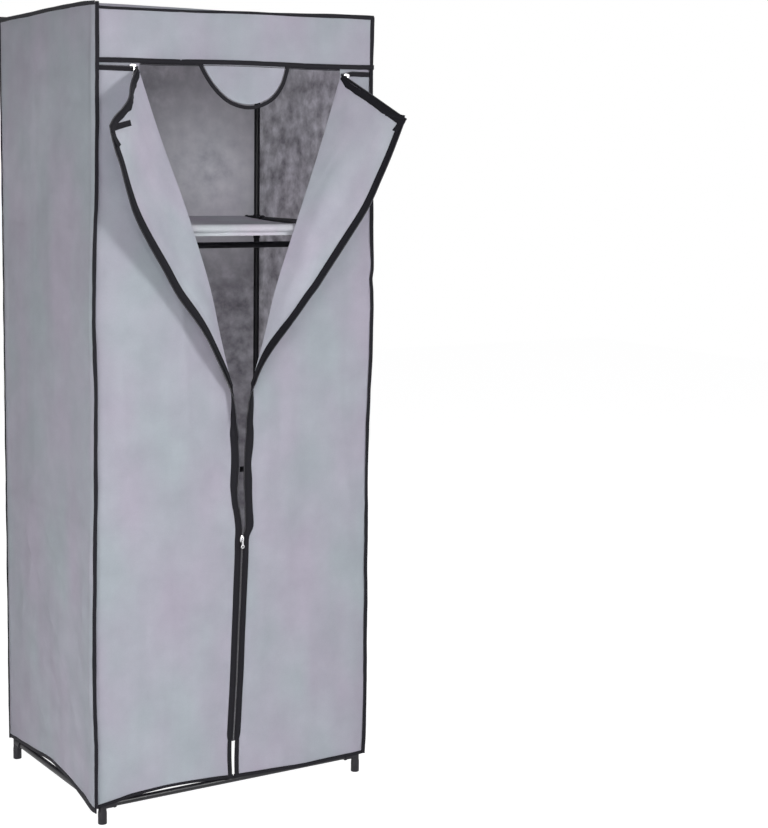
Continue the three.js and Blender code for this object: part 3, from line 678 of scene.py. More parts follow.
def makeSheet(name, columns, rows, pointAt, flatAt, thickness, *materials):
    vertices, faces, flats = [], [], []
    for row in range(rows + 1):
        for column in range(columns + 1):
            u, v = column / columns, row / rows
            vertices.append(at(*pointAt(u, v)))
            flats.append(flatAt(u, v))
    width = columns + 1
    for row in range(rows):
        for column in range(columns):
            first = row * width + column
            faces.append((first, first + 1, first + width + 1, first + width))
    piece = meshPiece(name, vertices, faces)
    layer = piece.data.uv_layers.new(name="flat cut")
    for loop in piece.data.loops:
        layer.data[loop.index].uv = Vector(flats[loop.vertex_index]) * mm
    painted(piece, *materials)
    applyModifier(piece, "SOLIDIFY", thickness=thickness * mm, offset=-1,
                  material_offset=len(materials) - 1, material_offset_rim=0)
    return smoothed(piece, 60)


# The flat cuts of the cover's cloth panels
cut = {"side": (473, 1552), "back": (620, 1552), "roof": (615, 475), "valance": (618, 100),
       "door": (300, 1440), "halfMoon": (190, 86)}


def plainCut(name):
    width, height = cut[name]
    return lambda u, v: (width * u, height * v)


def metres(size):
    return tuple(round(length * mm, 3) for length in size)


# A strip along stations of (point, across, out): point in millimetres, across and out of unit length.
# The section's points are (across, out) in millimetres, or a function that gives them for a station.
def makeStrip(name, stations, section, material):
    vertices, faces, lengths, offsets = [], [], [], []
    travelled, previous = 0.0, None
    for index, (point, across, out) in enumerate(stations):
        point = Vector(point)
        if previous is not None:
            travelled += (point - previous).length
        previous = point
        for a, o in (section(index) if callable(section) else section):
            vertices.append(home + (point + across * a + out * o) * mm)
            lengths.append(travelled * mm)
            offsets.append(a * mm)
    count = len(vertices) // len(stations)
    for index in range(len(stations) - 1):
        for corner in range(count):
            here, following = index * count + corner, index * count + (corner + 1) % count
            faces.append((here, following, following + count, here + count))
    faces.append(tuple(range(count - 1, -1, -1)))
    faces.append(tuple(range(len(vertices) - count, len(vertices))))
    piece = meshPiece(name, vertices, faces)
    layer = piece.data.uv_layers.new(name="along the strip")
    for loop in piece.data.loops:
        layer.data[loop.index].uv = (lengths[loop.vertex_index], offsets[loop.vertex_index])
    facesOutward(piece)
    return painted(smoothed(piece, 40), material)


upward, toFront, toBack = (0, 0, 1), (0, -1, 0), (0, 1, 0)


# A flat tape's section: from one edge to the other, with eased corners
def tapeSection(fromEdge, toEdge, inner, outer, corner=0.4):
    return [(fromEdge, inner + corner), (fromEdge + corner, inner), (toEdge - corner, inner),
            (toEdge, inner + corner), (toEdge, outer - corner), (toEdge - corner, outer),
            (fromEdge + corner, outer), (fromEdge, outer - corner)]


# Where the cover hangs. Its corner lines are (height, how far the slack cloth stands out), its hems and
# seams are (place along them, height), and roofRise is (share of the width, rise).
cover = {
    "frontY": -237.0, "backY": 236.2, "backEdgeY": 236, "backInnerY": 235.2, "sideX": 309.0,
    "sideInnerX": 308.2, "backSeamZ": 1597.0, "middleZ": 800, "rightSeamRise": 0.6, "cloth": 0.9,
    "frontLeft": [(44, 317), (165, 316.6), (270, 319.4), (340, 318.6), (445, 317.6), (515, 316.2),
                  (585, 315.0), (655, 313.2), (760, 312.9), (865, 311.2), (935, 312.6), (1040, 313.8),
                  (1110, 312), (1180, 309.8), (1250, 307), (1320, 305.4), (1390, 303.6), (1460, 304),
                  (1530, 303), (1600, 302.4)],
    "frontRight": [(44, 309), (95, 311.6), (165, 312.5), (235, 312), (305, 310.8), (375, 311),
                   (445, 309.4), (530, 309.2), (585, 308.4), (655, 307.3), (725, 308.1), (795, 310.1),
                   (865, 313), (935, 314.8), (1005, 315.9), (1045, 314.6), (1074, 312.6), (1088, 314.8),
                   (1110, 314.9), (1145, 312.6), (1215, 311), (1300, 309), (1400, 306.5), (1500, 305),
                   (1565, 306.2), (1608, 306.6)],
    "backLeft": [(50, 309.5), (350, 309.0), (700, 308.6), (1100, 307.8), (1400, 307.4), (1598, 306.8)],
    "backRight": [(50, 311.0), (350, 312.0), (760, 310.6), (1150, 311.4), (1598, 308.0)],
    "frontHem": [(-317, 38.5), (-300, 40.5), (-270, 45), (-243, 49.5), (-200, 52.3), (-160, 54), (-110, 53.5),
                 (-60, 50.3), (-22, 47), (7, 45.5), (50, 43.5), (85, 42.5), (168, 39.8), (225, 41.2),
                 (312, 42.6)],
    "leftHem": [(-237, 29), (-217, 28), (-196, 31), (-161, 34.5), (-142, 38), (-91, 50.5), (-40, 57.4),
                (6, 61.2), (60, 58.6), (132, 53.8), (210, 50.5), (236, 48.5)],
    "rightHem": [(-237, 45.5), (-120, 49), (0, 52), (120, 48), (236, 45)],
    "backHem": [(-309, 46), (-150, 51), (0, 47), (160, 52), (309, 45)],
    "frontSeam": [(-312, 1593.5), (-281, 1592.9), (-241, 1593.5), (-161, 1594.8), (-100, 1596.0),
                  (-40, 1598.5), (20, 1600.3), (80, 1600.6), (150, 1601.0), (225, 1602.4), (307, 1603.5)],
    "sideSeam": [(-237, 1600.5), (-182, 1601.5), (-115, 1600.8), (-20, 1599.4), (77, 1596.2),
                 (174, 1594.5), (236, 1592.5)],
    "roofRise": [(0, 0), (0.25, 2.5), (0.5, 3.5), (0.75, 3), (1, 0)],
}


def cornerX(row, side, z):
    name = row + side.capitalize()
    return sideSign[side] * curveAt(cover[name], z)


def seamZ(side, y):
    return curveAt(cover["sideSeam"], y) + (cover["rightSeamRise"] if side == "right" else 0)


# Slack dies away towards a panel's side edges and under its top seam
def slackShare(fromEdge, fadeWidth, z):
    return ease(0, fadeWidth, fromEdge) * ease(1596, 1540, z)


# The waves that slack cloth hangs in: height, how far they lean outwards, and their size across and up
slackWaves = {
    "side": [(2.6, 0.2, 120, 520), (1.5, 0, 46, 300)],
    "back": [(3.0, 0.3, 150, 520), (1.4, 0, 50, 300)],
    "front": [(3.2, 0.15, 150, 560), (1.5, 0, 52, 280)],
}


def slackOut(name, a, z, seed):
    return sum(height * (lumps(a, z, across, up, seed + i) + lean)
               for i, (height, lean, across, up) in enumerate(slackWaves[name]))


# The side panels stand out from the frame as the cloth hangs: a distance from the wardrobe's middle
def sideReach(side, y, z):
    seed = 3 if side == "left" else 11
    front, back, flat = abs(cornerX("front", side, z)), abs(cornerX("back", side, z)), cover["sideX"]
    reach = flat + max(0, front - flat) * ease(-120, -232, y) + max(0, back - flat) * ease(150, 235, y)
    inside = slackShare(cover["backEdgeY"] - abs(y), 24, z)
    reach += slackOut("side", y, z, seed) * inside
    reach += 1.6 * bell(abs(y), 222, 7) * ease(1580, 1500, z) * ease(60, 200, z)  # over the posts
    reach -= 1.1 * bell(abs(y), 232, 4) * ease(60, 200, z)  # and drawn in beside them
    # slanting folds in the lower part, where the panel isn't held down
    slant = y * 0.75 + z * 0.55
    reach += 2.2 * bell(z, 330, 260) * inside * lumps(slant, z * 0.2 - y * 0.5, 38, 150, seed + 2)
    reach += 1.8 * bell(z, 360, 210) * inside * (1 - 2 * abs(lumps(slant, z - y, 60, 110, seed + 4)))
    for level in ("middle", "shelf"):  # over the side rails
        reach += 0.7 * bell(z, frameLines["levels"][level], 7) * ease(0, 40, 226 - abs(y))
    reach += creaseOut(side + "Side", y, z) * inside
    reach = max(reach, cover["sideInnerX"])
    reach = mix(reach, front, ease(-228, cover["frontY"], y))
    return mix(reach, back, ease(228, cover["backEdgeY"], y))


def makeSidePanel(side):
    fromY, toY = cover["backEdgeY"], cover["frontY"]
    if side == "right":
        fromY, toY = toY, fromY

    def pointAt(u, v):
        y = mix(fromY, toY, u)
        z = mix(curveAt(cover[side + "Hem"], y) + 2, seamZ(side, y), v)
        return (sideSign[side] * sideReach(side, y, z), y, z)

    piece = makeSheet(f"{side}_panel", 90, 190, pointAt, plainCut("side"), cover["cloth"],
                      coverOutside, shadedCoverInside)
    return ridingFrame(piece, "cover_cloth", f"cover_{side}")


def makeBackPanel():
    left, right = (abs(cornerX("back", side, cover["middleZ"])) for side in ("left", "right"))
    flat = cover["sideX"]

    def pointAt(u, v):
        x = mix(right, -left, u)
        hem = curveAt(cover["backHem"], max(-flat, min(flat, x))) + 2
        z = mix(hem, cover["backSeamZ"] + curveAt(cover["roofRise"], u), v)
        edge = abs(cornerX("back", "right" if x > 0 else "left", z))
        x = x * edge / (right if x > 0 else left)
        inside = slackShare(flat - abs(x), 30, z)
        out = slackOut("back", x, z, 21) + creaseOut("back", x, z)
        out += 2.0 * bell(z, 300, 240) * lumps(x * 0.7 + z * 0.5, z * 0.3, 45, 140, 23)
        return (x, max(cover["backInnerY"], cover["backY"] + out * inside), z)

    piece = makeSheet("back_panel", 90, 190, pointAt, plainCut("back"), cover["cloth"],
                      coverOutside, backInsideShadeAndLight)
    return ridingFrame(piece, "cover_cloth", "cover_back")


roof = {"halfDepth": 237.4, "leftX": -306.8, "rightX": 308.2, "flatZ": 1599.4}


# The roof rolls over the front edge down to its seam, which hangs lower at the left
def makeRoof():
    def pointAt(u, v):
        x, y = mix(roof["leftX"], roof["rightX"], u), -roof["halfDepth"] * math.cos(math.pi * v)
        side = mix(seamZ("left", y), seamZ("right", y), u)
        rise = curveAt(cover["roofRise"], u) * math.sin(math.pi * v)
        level = max(side, roof["flatZ"]) + rise + lumps(x, y, 120, 120, 31)
        seam = curveAt(cover["frontSeam"], x) if y < 0 else cover["backSeamZ"]
        level = mix(level, min(level, seam + 1.5), ease(0.955, 1.0, abs(y) / roof["halfDepth"]))
        return (x, y, mix(level, side, ease(0.965, 1.0, abs(x) / 308)))

    piece = makeSheet("roof_cloth", 64, 56, pointAt, plainCut("roof"), cover["cloth"], coverOutside)
    return ridingFrame(piece, "cover_cloth", "cover_cap")


# The valance hangs from the roof's front seam and stands off the doors under it, more so at its bottom
valance = {
    "bottom": [(-312, 1493), (-229, 1495), (-173, 1495.5), (-85, 1498), (0, 1500), (104, 1500.5),
               (155, 1500.5), (231, 1501.5), (312, 1503.5)],
    "standOff": 1.2, "flare": 1.2, "flatBottom": 1500,
}


# Creases as lines on the front or back (x, z) or a side (y, z): from, to, height and half width.
# They come from the cover's folding in its box and from the pull of the zip.
creases = {
    "left": [(-130, 1075, -108, 765, 2.0, 11), (-114, 790, -10, 618, -3.0, 17),
             (-305, 622, -28, 570, 1.9, 12), (-60, 520, -300, 470, 1.2, 20),
             (-262, 1000, -240, 690, 1.0, 16), (-200, 420, -150, 120, 1.3, 18)],
    "right": [(93, 960, 97, 775, -2.4, 9), (52, 570, 308, 596, 2.0, 12), (205, 1095, 318, 1109, 2.0, 9),
              (60, 760, 40, 620, -2.0, 14), (236, 900, 262, 640, 1.1, 15), (150, 480, 185, 150, 1.3, 18)],
    "leftSide": [(236, 598, -236, 596, 1.4, 11), (120, 520, -40, 330, 2.4, 9),
                 (-40, 330, -175, 130, 2.0, 10), (30, 560, -110, 430, 2.2, 9),
                 (110, 400, -60, 190, -2.2, 11), (200, 500, 60, 330, 1.8, 10),
                 (-90, 420, -200, 260, -2.0, 10), (150, 300, 20, 110, 1.6, 12),
                 (60, 1500, 75, 620, 1.1, 14), (236, 1092, -236, 1092, 0.9, 10)],
    "rightSide": [(236, 598, -236, 596, 1.4, 11), (-150, 520, 20, 330, 2.0, 10),
                  (60, 560, 190, 300, 1.8, 11), (-60, 1500, -70, 620, 1.1, 14),
                  (236, 1092, -236, 1092, 1.2, 10)],
    "back": [(-308, 598, 308, 596, 1.8, 12), (-308, 1092, 308, 1092, 1.8, 12),
             (-100, 1560, -104, 60, 1.4, 12), (104, 1560, 100, 60, 1.4, 12),
             (-220, 480, -120, 260, 1.8, 14), (240, 430, 130, 200, 1.8, 14)],
    "valance": [(150, 1600, 146, 1500, 1.2, 9), (186, 1600, 182, 1500, -1.0, 8),
                (60, 1600, 56, 1500, 0.9, 12), (-128, 1600, -132, 1500, 0.8, 14)],
}


def creaseOut(name, a, z):
    out = 0
    for a0, z0, a1, z1, height, half in creases[name]:
        runA, runZ = a1 - a0, z1 - z0
        size = runA * runA + runZ * runZ
        along = ((a - a0) * runA + (z - z0) * runZ) / size
        if along < -0.15 or along > 1.15:
            continue
        off = abs((a - a0) * runZ - (z - z0) * runA) / math.sqrt(size)
        if off < 5 * half:
            out += height * math.exp(-off / half) * ease(-0.15, 0.12, along) * ease(1.15, 0.88, along)
    return out


# How free the front's cloth is: not at all at the wardrobe's corners
def frontFree(x):
    return ease(0, 26, cover["sideX"] - abs(x))


def frontOut(x, z, seed):
    small = 0.7 * lumps(x, z, 30, 40, seed + 2) * bell(z, 300, 260)
    return (slackOut("front", x, z, seed) + small) * frontFree(x)


def makeValance():
    flatBottom, (width, height) = valance["flatBottom"], cut["valance"]
    left, right = cornerX("front", "left", flatBottom), cornerX("front", "right", flatBottom)

    def pointAt(u, v):
        x = mix(left, right, u)
        z = mix(curveAt(valance["bottom"], x) + 2, curveAt(cover["frontSeam"], x), v)
        out = 1.4 * (lumps(x, z, 60, 200, 41) + 0.4) * frontFree(x) + creaseOut("valance", x, z)
        return (x, cover["frontY"] - valance["standOff"] - out - valance["flare"] * (1 - v), z)

    piece = makeSheet("valance_cloth", 70, 12, pointAt, lambda u, v: (width * u, flatBottom + height * v),
                      cover["cloth"], coverOutside)
    return ridingFrame(piece, "cover_cloth")


# The doors. Each is one sheet from the corner of the wardrobe to its zip. Above the foot of the fold line
# its inner part is turned out as a lapel. Every curve is a list of (height, value): the turn in degrees,
# how far the root bows out of its straight line, where the slit's turned strip starts, and how much wider
# than its plain width the edge's tape is drawn, partly the tape folded round the edge and partly painted
# shade under it. They follow the photograph.

door = {
    "centre": 8, "hemZ": 45, "sliderZ": 550, "foldFootZ": 868, "foldTopZ": 1487,
    "foldFootHalf": 18, "foldTopHalf": 222, "clothInset": 9.0, "cornerFlat": 300, "cornerHalf": 309,
    "bendFromY": -243.5, "bendToY": -256, "bendZ": 1200,
    "zipLine": [(45, -8.6), (83, -9.7), (109, -9.6), (134, -8.9), (160, -7.4), (212, -4.5), (263, -1.8),
                (314, 0.3), (365, 2.2), (415, 4.6), (466, 6.5), (516, 8.4), (550, 8.8)],
    "left": {
        "topRise": 0, "topDroop": 0,
        "turn": [(745, 0), (757, 16), (770, 42), (787, 70), (803, 79), (819, 89), (836, 100), (852, 112),
                 (866, 129), (890, 134), (940, 140), (990, 144), (1020, 148.3), (1050, 153.5),
                 (1080, 158.2), (1110, 160.6), (1170, 158.1), (1230, 156.4), (1290, 152.7),
                 (1350, 146.5), (1400, 142), (1440, 140), (1487, 137)],
        "bow": [(868, -6), (885, -5.6), (969, 0.8), (1071, 9.7), (1209, 7.8), (1352, -2.3), (1466, -6.5),
                (1487, -6)],
        "slitRoot": [(550, -9.4), (560, -8.4), (572, -8), (589, -9.6), (606, -13), (622, -16.4),
                     (655, -18.4), (672, -17), (705, -15.2), (738, -17), (770, -19.6), (787, -17.6),
                     (803, -17.6), (819, -16.5), (836, -16), (852, -15.8), (868, -16)],
        "widthWithShade": [(45, 1.6), (118, 1.6), (130, 0.7), (550, 0.7), (589, 1.4), (606, 0.6), (639, 1),
                 (672, 4), (705, 4.2), (738, 3), (803, 3), (850, 1), (885, 5.5), (1010, 5.5), (1060, 4.4)],
    },
    "right": {
        "topRise": 4, "topDroop": 10,
        "turn": [(760, 0), (787, 8), (803, 12), (819, 20), (836, 29), (852, 50), (868, 78), (890, 80),
                 (905, 81), (920, 83.7), (940, 88.4), (960, 93.6), (990, 102.6), (1020, 110.1),
                 (1050, 115.4), (1080, 117.8), (1110, 120.5), (1140, 119.9), (1230, 118.9),
                 (1290, 117.7), (1350, 112.5), (1400, 109), (1440, 106.3), (1495, 103)],
        "bow": [(868, -5), (885, -4.7), (965, -2.0), (1057, 3.5), (1192, 0.5), (1353, -3), (1487, -2.7)],
        "slitRoot": [(550, 27), (560, 29.6), (572, 33), (606, 33), (639, 31.6), (672, 30.5), (705, 31.2),
                     (738, 32.4), (770, 34.4), (787, 33.4), (803, 34.4), (819, 35.2), (836, 35), (852, 33),
                     (868, 31)],
        "widthWithShade": [(45, 1.6), (118, 1.6), (130, 0.7), (550, 0.7), (572, 5), (589, 5), (606, 4), (639, 3.6),
                 (672, 4.4), (705, 1.4), (738, 4.4), (770, 3.6), (836, 1), (850, 0.5), (885, 5), (925, 10),
                 (965, 6), (1000, 1.6), (1060, 0.9)],
    },
}


def zipCentre(z):
    return curveAt(door["zipLine"], z)


# Half the door's width at a height, from its centre to the fold line or to the turned strip's root
def foldHalf(z):
    share = max(0, z - door["foldFootZ"]) / (door["foldTopZ"] - door["foldFootZ"])
    return mix(door["foldFootHalf"], door["foldTopHalf"], share)


# The root of the turned part, the direction across it to the zip, and its outward side
def doorRow(side, z):
    sign = sideSign[side]
    if z >= door["foldFootZ"]:
        rootX = door["centre"] + sign * (foldHalf(z) - curveAt(door[side]["bow"], z))
    else:
        rootX = zipCentre(z) + sign * (door["foldFootHalf"] + 0.2)
        if z > door["sliderZ"]:
            rootX = curveAt(door[side]["slitRoot"], z)
    turn = math.radians(curveAt(door[side]["turn"], z))
    run = door["foldTopHalf"] - door["foldFootHalf"]
    axis = Vector((sign * run, 0, door["foldTopZ"] - door["foldFootZ"])).normalized()
    turned = Matrix.Rotation(sign * turn, 3, axis)
    across, out = turned @ Vector((-sign, 0, 0)), turned @ Vector(toFront)
    return Vector((rootX, doorY(side, rootX, z), z)), across, out


def doorY(side, x, z):
    seed = 51 if side == "left" else 61
    edge = ease(0, 60, abs(x - zipCentre(z)) - 16)
    out = (frontOut(x, z, seed) + creaseOut(side, x, z)) * mix(0.3, 1, edge)
    return cover["frontY"] - max(out, -1.2)


# How a lapel curls off the straight row towards its inner face: middle share, spread, z, spread, lift
lapelCurl = {
    "left": [(0.62, 0.26, 1487, 40, 14), (0.45, 0.3, 1260, 120, -5), (0.5, 0.3, 1040, 70, 4)],
    "right": [(0.4, 0.3, 1487, 60, -5), (0.3, 0.22, 1290, 150, 7), (0.75, 0.25, 1330, 120, -5),
              (0.5, 0.3, 1080, 70, 5)],
}
# Creases across a lapel: from (share, z) to (share, z), height and half width
lapelCrease = {
    "left": [(0.3, 1440, 0.55, 1180, 1.2, 7), (0.7, 1200, 0.5, 1000, 1.0, 6)],
    "right": [(0.42, 1400, 0.12, 1235, -2.6, 7), (0.5, 1130, 0.9, 1105, 1.6, 7),
              (0.35, 1220, 0.75, 1200, 1.1, 9), (0.3, 1060, 0.6, 960, -1.0, 6)],
}


def creaseLift(side, share, z):
    lift, length = 0, foldHalf(z)
    here = Vector((share * length, z))
    for share0, z0, share1, z1, height, half in lapelCrease[side]:
        start = Vector((share0 * length, z0))
        run = Vector((share1 * length, z1)) - start
        along = (here - start).dot(run) / run.length_squared
        off = (here - start - run * along).length
        lift += height * math.exp(-off / half) * ease(-0.25, 0.1, along) * ease(1.25, 0.9, along)
    return lift


def lapelPoint(side, z, reach):
    root, across, out = doorRow(side, z)
    length = foldHalf(z)
    share = reach / length
    lift = sum(height * bell(share, middle, spread) * bell(z, level, reachZ)
               for middle, spread, level, reachZ, height in lapelCurl[side])
    lift += 1.6 * lumps(reach, z, 40, 90, 71 if side == "left" else 81) * ease(880, 1000, z)
    lift += creaseLift(side, share, z)
    lift *= math.sin(math.pi * min(1, max(0, share))) ** 0.7 * ease(860, 940, z)
    lift *= ease(length - 17, length - 60, reach)  # the edge's tapes hold the cloth straight
    return root + across * reach - out * lift


# How far from the zip the cloth ends under the edge's tape; near the fold's foot it stays short of it
def clothInset(side, z):
    tapeEdge = 3 + zipper["bindingWidth"] + curveAt(door[side]["widthWithShade"], z)
    return mix(door["clothInset"], tapeEdge, ease(570, 620, z) * ease(960, 905, z))


# The right door's top edge climbs towards the corner
def cornerRise(side, x):
    return 5 * ease(236, 262, x) if side == "right" else 0


# Columns run from the wardrobe's corner to the fold line, and from there, closer together at first, to
# the zip
def makeDoor(side):
    sign = sideSign[side]
    panelColumns, lapelColumns, rows = 56, 26, 210
    topZ = door["foldTopZ"] - 5 + door[side]["topRise"]

    # the height at (u, v), and the shares of the panel and of the lapel that are passed there
    def placeOf(u, v):
        column = (u if side == "left" else 1 - u) * (panelColumns + lapelColumns)
        panelShare = min(1, column / panelColumns)
        lapelShare = max(0, (column - panelColumns) / lapelColumns) ** 1.25
        x = sign * door["cornerFlat"] * (1 - panelShare) + door["centre"]
        z = mix(curveAt(cover["frontHem"], x) + 2, topZ + cornerRise(side, x), v)
        return z, panelShare, lapelShare

    def droopZ(z, lapelShare, v):
        return z - door[side]["topDroop"] * lapelShare * v**12

    def pointAt(u, v):
        z, panelShare, lapelShare = placeOf(u, v)
        if lapelShare > 0:
            z = droopZ(z, lapelShare, v)
            return tuple(lapelPoint(side, z, lapelShare * (foldHalf(z) - clothInset(side, z))))
        x = mix(cornerX("front", side, z), doorRow(side, z)[0].x, panelShare)
        return (x, doorY(side, x, z), z)

    def flatAt(u, v):
        z, panelShare, lapelShare = placeOf(u, v)
        half = foldHalf(z)
        if lapelShare > 0:
            return (sign * mix(half, clothInset(side, z), lapelShare), droopZ(z, lapelShare, v))
        return (sign * mix(door["cornerHalf"], half, panelShare), z)

    return makeSheet(f"{side}_door_cloth", panelColumns + lapelColumns, rows, pointAt, flatAt,
                     cover["cloth"], coverOutside, litDoorInside)


# The fold starts where the cloth leaves the front plane. This works out the fold's two ends but uses neither;
# it only bakes the piece's placement into its mesh
def bendWithLapel(piece, side):
    start, end = (at(0, door[name], door["bendZ"]) for name in ("bendFromY", "bendToY"))
    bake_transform(piece)
    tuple(start)
    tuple(end)


def steps(low, high, count):
    return [mix(low, high, i / count) for i in range(count + 1)]


# Each tooth is an eight-cornered ring of the strip, given as shares of its size, and every other one is
# drawn in
zipper = {"bindingWidth": 8.0, "tooth": 1.3, "gapShare": 0.55, "pitch": 2.6, "footZ": 125, "step": 7,
          "toothShares": ((1, 0.3), (0.3, 1), (-0.3, 1), (-1, 0.3), (-1, -0.3), (-0.3, -1), (0.3, -1),
                          (1, -0.3))}


# Stations along the door's free edge, from the hem up to the lapel's corner: the zip's own line
def doorEdgeStations(side, low, high, spacing):
    stations = []
    for z in steps(low, high, max(2, round((high - low) / spacing))):
        root, across, out = doorRow(side, z)
        stations.append((root + across * foldHalf(z), across, out))
    return stations


# Stations along the top edge: from the wardrobe's corner to the fold, then out along the lapel
def topEdgeStations(side, spacing):
    z = door["foldTopZ"] + door[side]["topRise"]
    root, _, out = doorRow(side, z)
    stations = []
    cornerAt = cornerX("front", side, z)
    for x in steps(cornerAt, root.x, max(3, round(abs(root.x - cornerAt) / spacing))):
        stations.append((Vector((x, doorY(side, x, z), z + cornerRise(side, x))), Vector(upward),
                         Vector(toFront)))
    length = foldHalf(z)
    slope = door[side]["topDroop"] / length
    for reach in steps(spacing, length - 2 * slope, round(length / spacing)):
        low = z - slope * reach
        here, ahead = lapelPoint(side, low, reach), lapelPoint(side, low - 2 * slope, reach + 2)
        behind = lapelPoint(side, low + 2 * slope, reach - 2)
        along = (ahead - behind).normalized()
        across = out.cross(along)
        if across.z < 0:
            across = -across
        stations.append((here, across.normalized(), out))
    return stations


def toothSection(index):
    size = zipper["tooth"] * (1.0 if index % 2 else zipper["gapShare"])
    return [(a * size - 0.5, o * size + 0.2) for a, o in zipper["toothShares"]]


def teethAlong(stations):
    return makeStrip("teeth", stations, toothSection, coilNylon)


# The door's edge in two runs: below the fold's foot it stays with the door, above it goes with the lapel
def makeDoorBands(side):
    hem = curveAt(cover["frontHem"], zipCentre(door["hemZ"])) - 2
    top = door["foldTopZ"] - 1 + door[side]["topRise"] - door[side]["topDroop"]
    foot, split = zipper["footZ"], door["foldFootZ"]

    def run(name, low, high):
        stations = doorEdgeStations(side, low, high, zipper["step"])

        def bindingSection(index):
            z = stations[index][0].z
            tuck = 3.0 * ease(foot + 15, foot, z) + ease(foot, hem, z)  # below the zip's end
            wobble = 0.5 * lumps(z, 0, 60, 60, 5 if side == "left" else 6)
            inner = -7.0 + tuck + wobble
            # the extra width is partly the tape folded round the edge and partly painted shade under it
            widthWithShade = zipper["bindingWidth"] + curveAt(door[side]["widthWithShade"], z)
            bunch = 1.6 * bell(z, 880, 45)  # the tape bunches up where the door turns over
            return tapeSection(inner - widthWithShade, inner, -1.5 - bunch, 0.9 + bunch)

        binding = makeStrip(name, stations, bindingSection, bindingTape)
        zipLow = max(low, foot)
        tape = makeStrip("tape", doorEdgeStations(side, zipLow, high, zipper["step"]),
                         tapeSection(-8.5, -0.4, -0.7, 0.3, 0.2), zipTape)
        teeth = teethAlong(doorEdgeStations(side, zipLow, high, zipper["pitch"] / 2))
        return joined([binding, tape, teeth], name)

    return run(f"{side}_zip_band", hem, split), run(f"{side}_door_band", split, top)


# The two tapes' loose ends, folded over onto the lapel's inner face at its corner:
# from (share of the lapel, z) to (share, z), the lift off the cloth at the end and the half width
looseTapes = {
    "left": [(0.985, 1478, 0.73, 1456, 13, 5.5), (0.97, 1470, 0.93, 1436, 3, 7)],
    "right": [(0.985, 1481, 0.76, 1469, 5, 4.5), (0.97, 1474, 0.94, 1448, 3, 7)],
}


def looseEnds(side):
    pieces = []
    for share0, z0, share1, z1, lift, half in looseTapes[side]:
        stations = []
        for t in steps(0, 1, 10):
            z, share = mix(z0, z1, t), mix(share0, share1, t)
            out = doorRow(side, z)[2]
            here = lapelPoint(side, z, share * foldHalf(z)) - out * (1.2 + lift * t * t)
            ahead = lapelPoint(side, z + (z1 - z0) * 0.02, (share + (share1 - share0) * 0.02) * foldHalf(z))
            along = (ahead - here + out * -(1.2 + lift * (t + 0.02) ** 2)).normalized()
            stations.append((here, along.cross(out).normalized(), out))
        pieces.append(makeStrip("loose_end", stations, tapeSection(-half, half, -0.9, 0.6, 0.2), bindingTape))
    return pieces


def makeTopBand(side):
    spacing = 6
    stations = topEdgeStations(side, spacing)
    turnedFrom = next(i for i, (_, across, out) in enumerate(stations) if out.y > -0.999 or across.z < 0.999)

    # the tapes are narrow as far as the fold and wider from there on, partly spread out, partly painted shade
    def spread(index):
        return ease(turnedFrom - 1, turnedFrom + 5, index)

    def bindingSection(index):
        widthWithShade = (6.5 if side == "left" else 8.5) * spread(index)
        ruffle = (3.4 if side == "left" else 1.2) * lumps(index * spacing, 0, 13, 20, 15) * min(1, widthWithShade)
        return tapeSection(-9.5 - widthWithShade + ruffle, -1.8 - widthWithShade * 0.4, -1.5, 0.9)

    def zipTapeSection(index):
        return tapeSection(-3.5 - 3.3 * spread(index), -0.4, -0.7, 0.3, 0.2)
    binding = makeStrip(f"{side}_top_band", stations, bindingSection, bindingTape)
    tape = makeStrip("tape", stations, zipTapeSection, zipTape)
    teeth = teethAlong(topEdgeStations(side, zipper["pitch"] / 2))
    return joined([binding, tape, teeth] + looseEnds(side), f"{side}_top_band")


def makeCover():
    sides = [makeSidePanel(side) for side in ("left", "right")]
    back, top, front = makeBackPanel(), makeRoof(), makeValance()
    print("cover panels made")
    doors = {}
    for side in ("left", "right"):
        cloth = makeDoor(side)
        zipBand, doorBand = makeDoorBands(side)
        topBand = makeTopBand(side)
        ridingFrame(zipBand, "cover_cloth")
        for piece in (cloth, doorBand, topBand):
            bendWithLapel(piece, side)
        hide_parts(f"front_{side}", f"lapel_{side}")
        doors[side] = (cloth, [zipBand, doorBand, topBand])
    print("doors made")
    return sides, back, top, front, doors


sidePanels, backPanel, roofCloth, valanceCloth, doors = makeCover()


# Edge bindings on the cover's seams and hems. Each is a folded tape that stands along its seam.

def straightStations(points, across, out):
    return [(Vector(point), Vector(across).normalized(), Vector(out).normalized()) for point in points]


cornerTape = {
    "front": {"y": -239.2, "half": 3.7, "topZ": {"left": 1603, "right": 1607},
              "seed": {"left": 1, "right": 2}},
    "back": {"y": 236.8, "half": 2.7, "topZ": {"left": 1598, "right": 1598},
             "seed": {"left": 41, "right": 42}},
}


# The tapes down the corners lie on the front and on the back, turned a little out of the plane
def cornerBinding(row, side):
    sign, tape = sideSign[side], cornerTape[row]
    seed = tape["seed"][side]
    if row == "front":
        across, out, low = (0.96, -0.28, 0), (-0.28, -0.96, 0), curveAt(cover["frontHem"], sign * 312)
    else:
        across, out, low = (-0.93 * sign, 0.36, 0), (0.36 * sign, 0.93, 0), 46
    points, wobbles = [], []
    for z in steps(low, tape["topZ"][side], 170):
        drift = 0.9 * lumps(z, 0, 70, 70, seed) + 0.4 * lumps(z, 0, 22, 22, seed + 9)
        points.append((cornerX(row, side, z) + drift, tape["y"] + 0.5 * lumps(z, 5, 60, 60, seed + 5), z))
        wobbles.append(1 + 0.22 * lumps(z, 9, 90, 90, seed + 3))

    def section(index):
        half = tape["half"] * wobbles[index]
        return tapeSection(-half, half, -1.0, 1.2)
    return makeStrip(f"{row}_{side}_corner_binding", straightStations(points, across, out), section,
                     bindingTape)


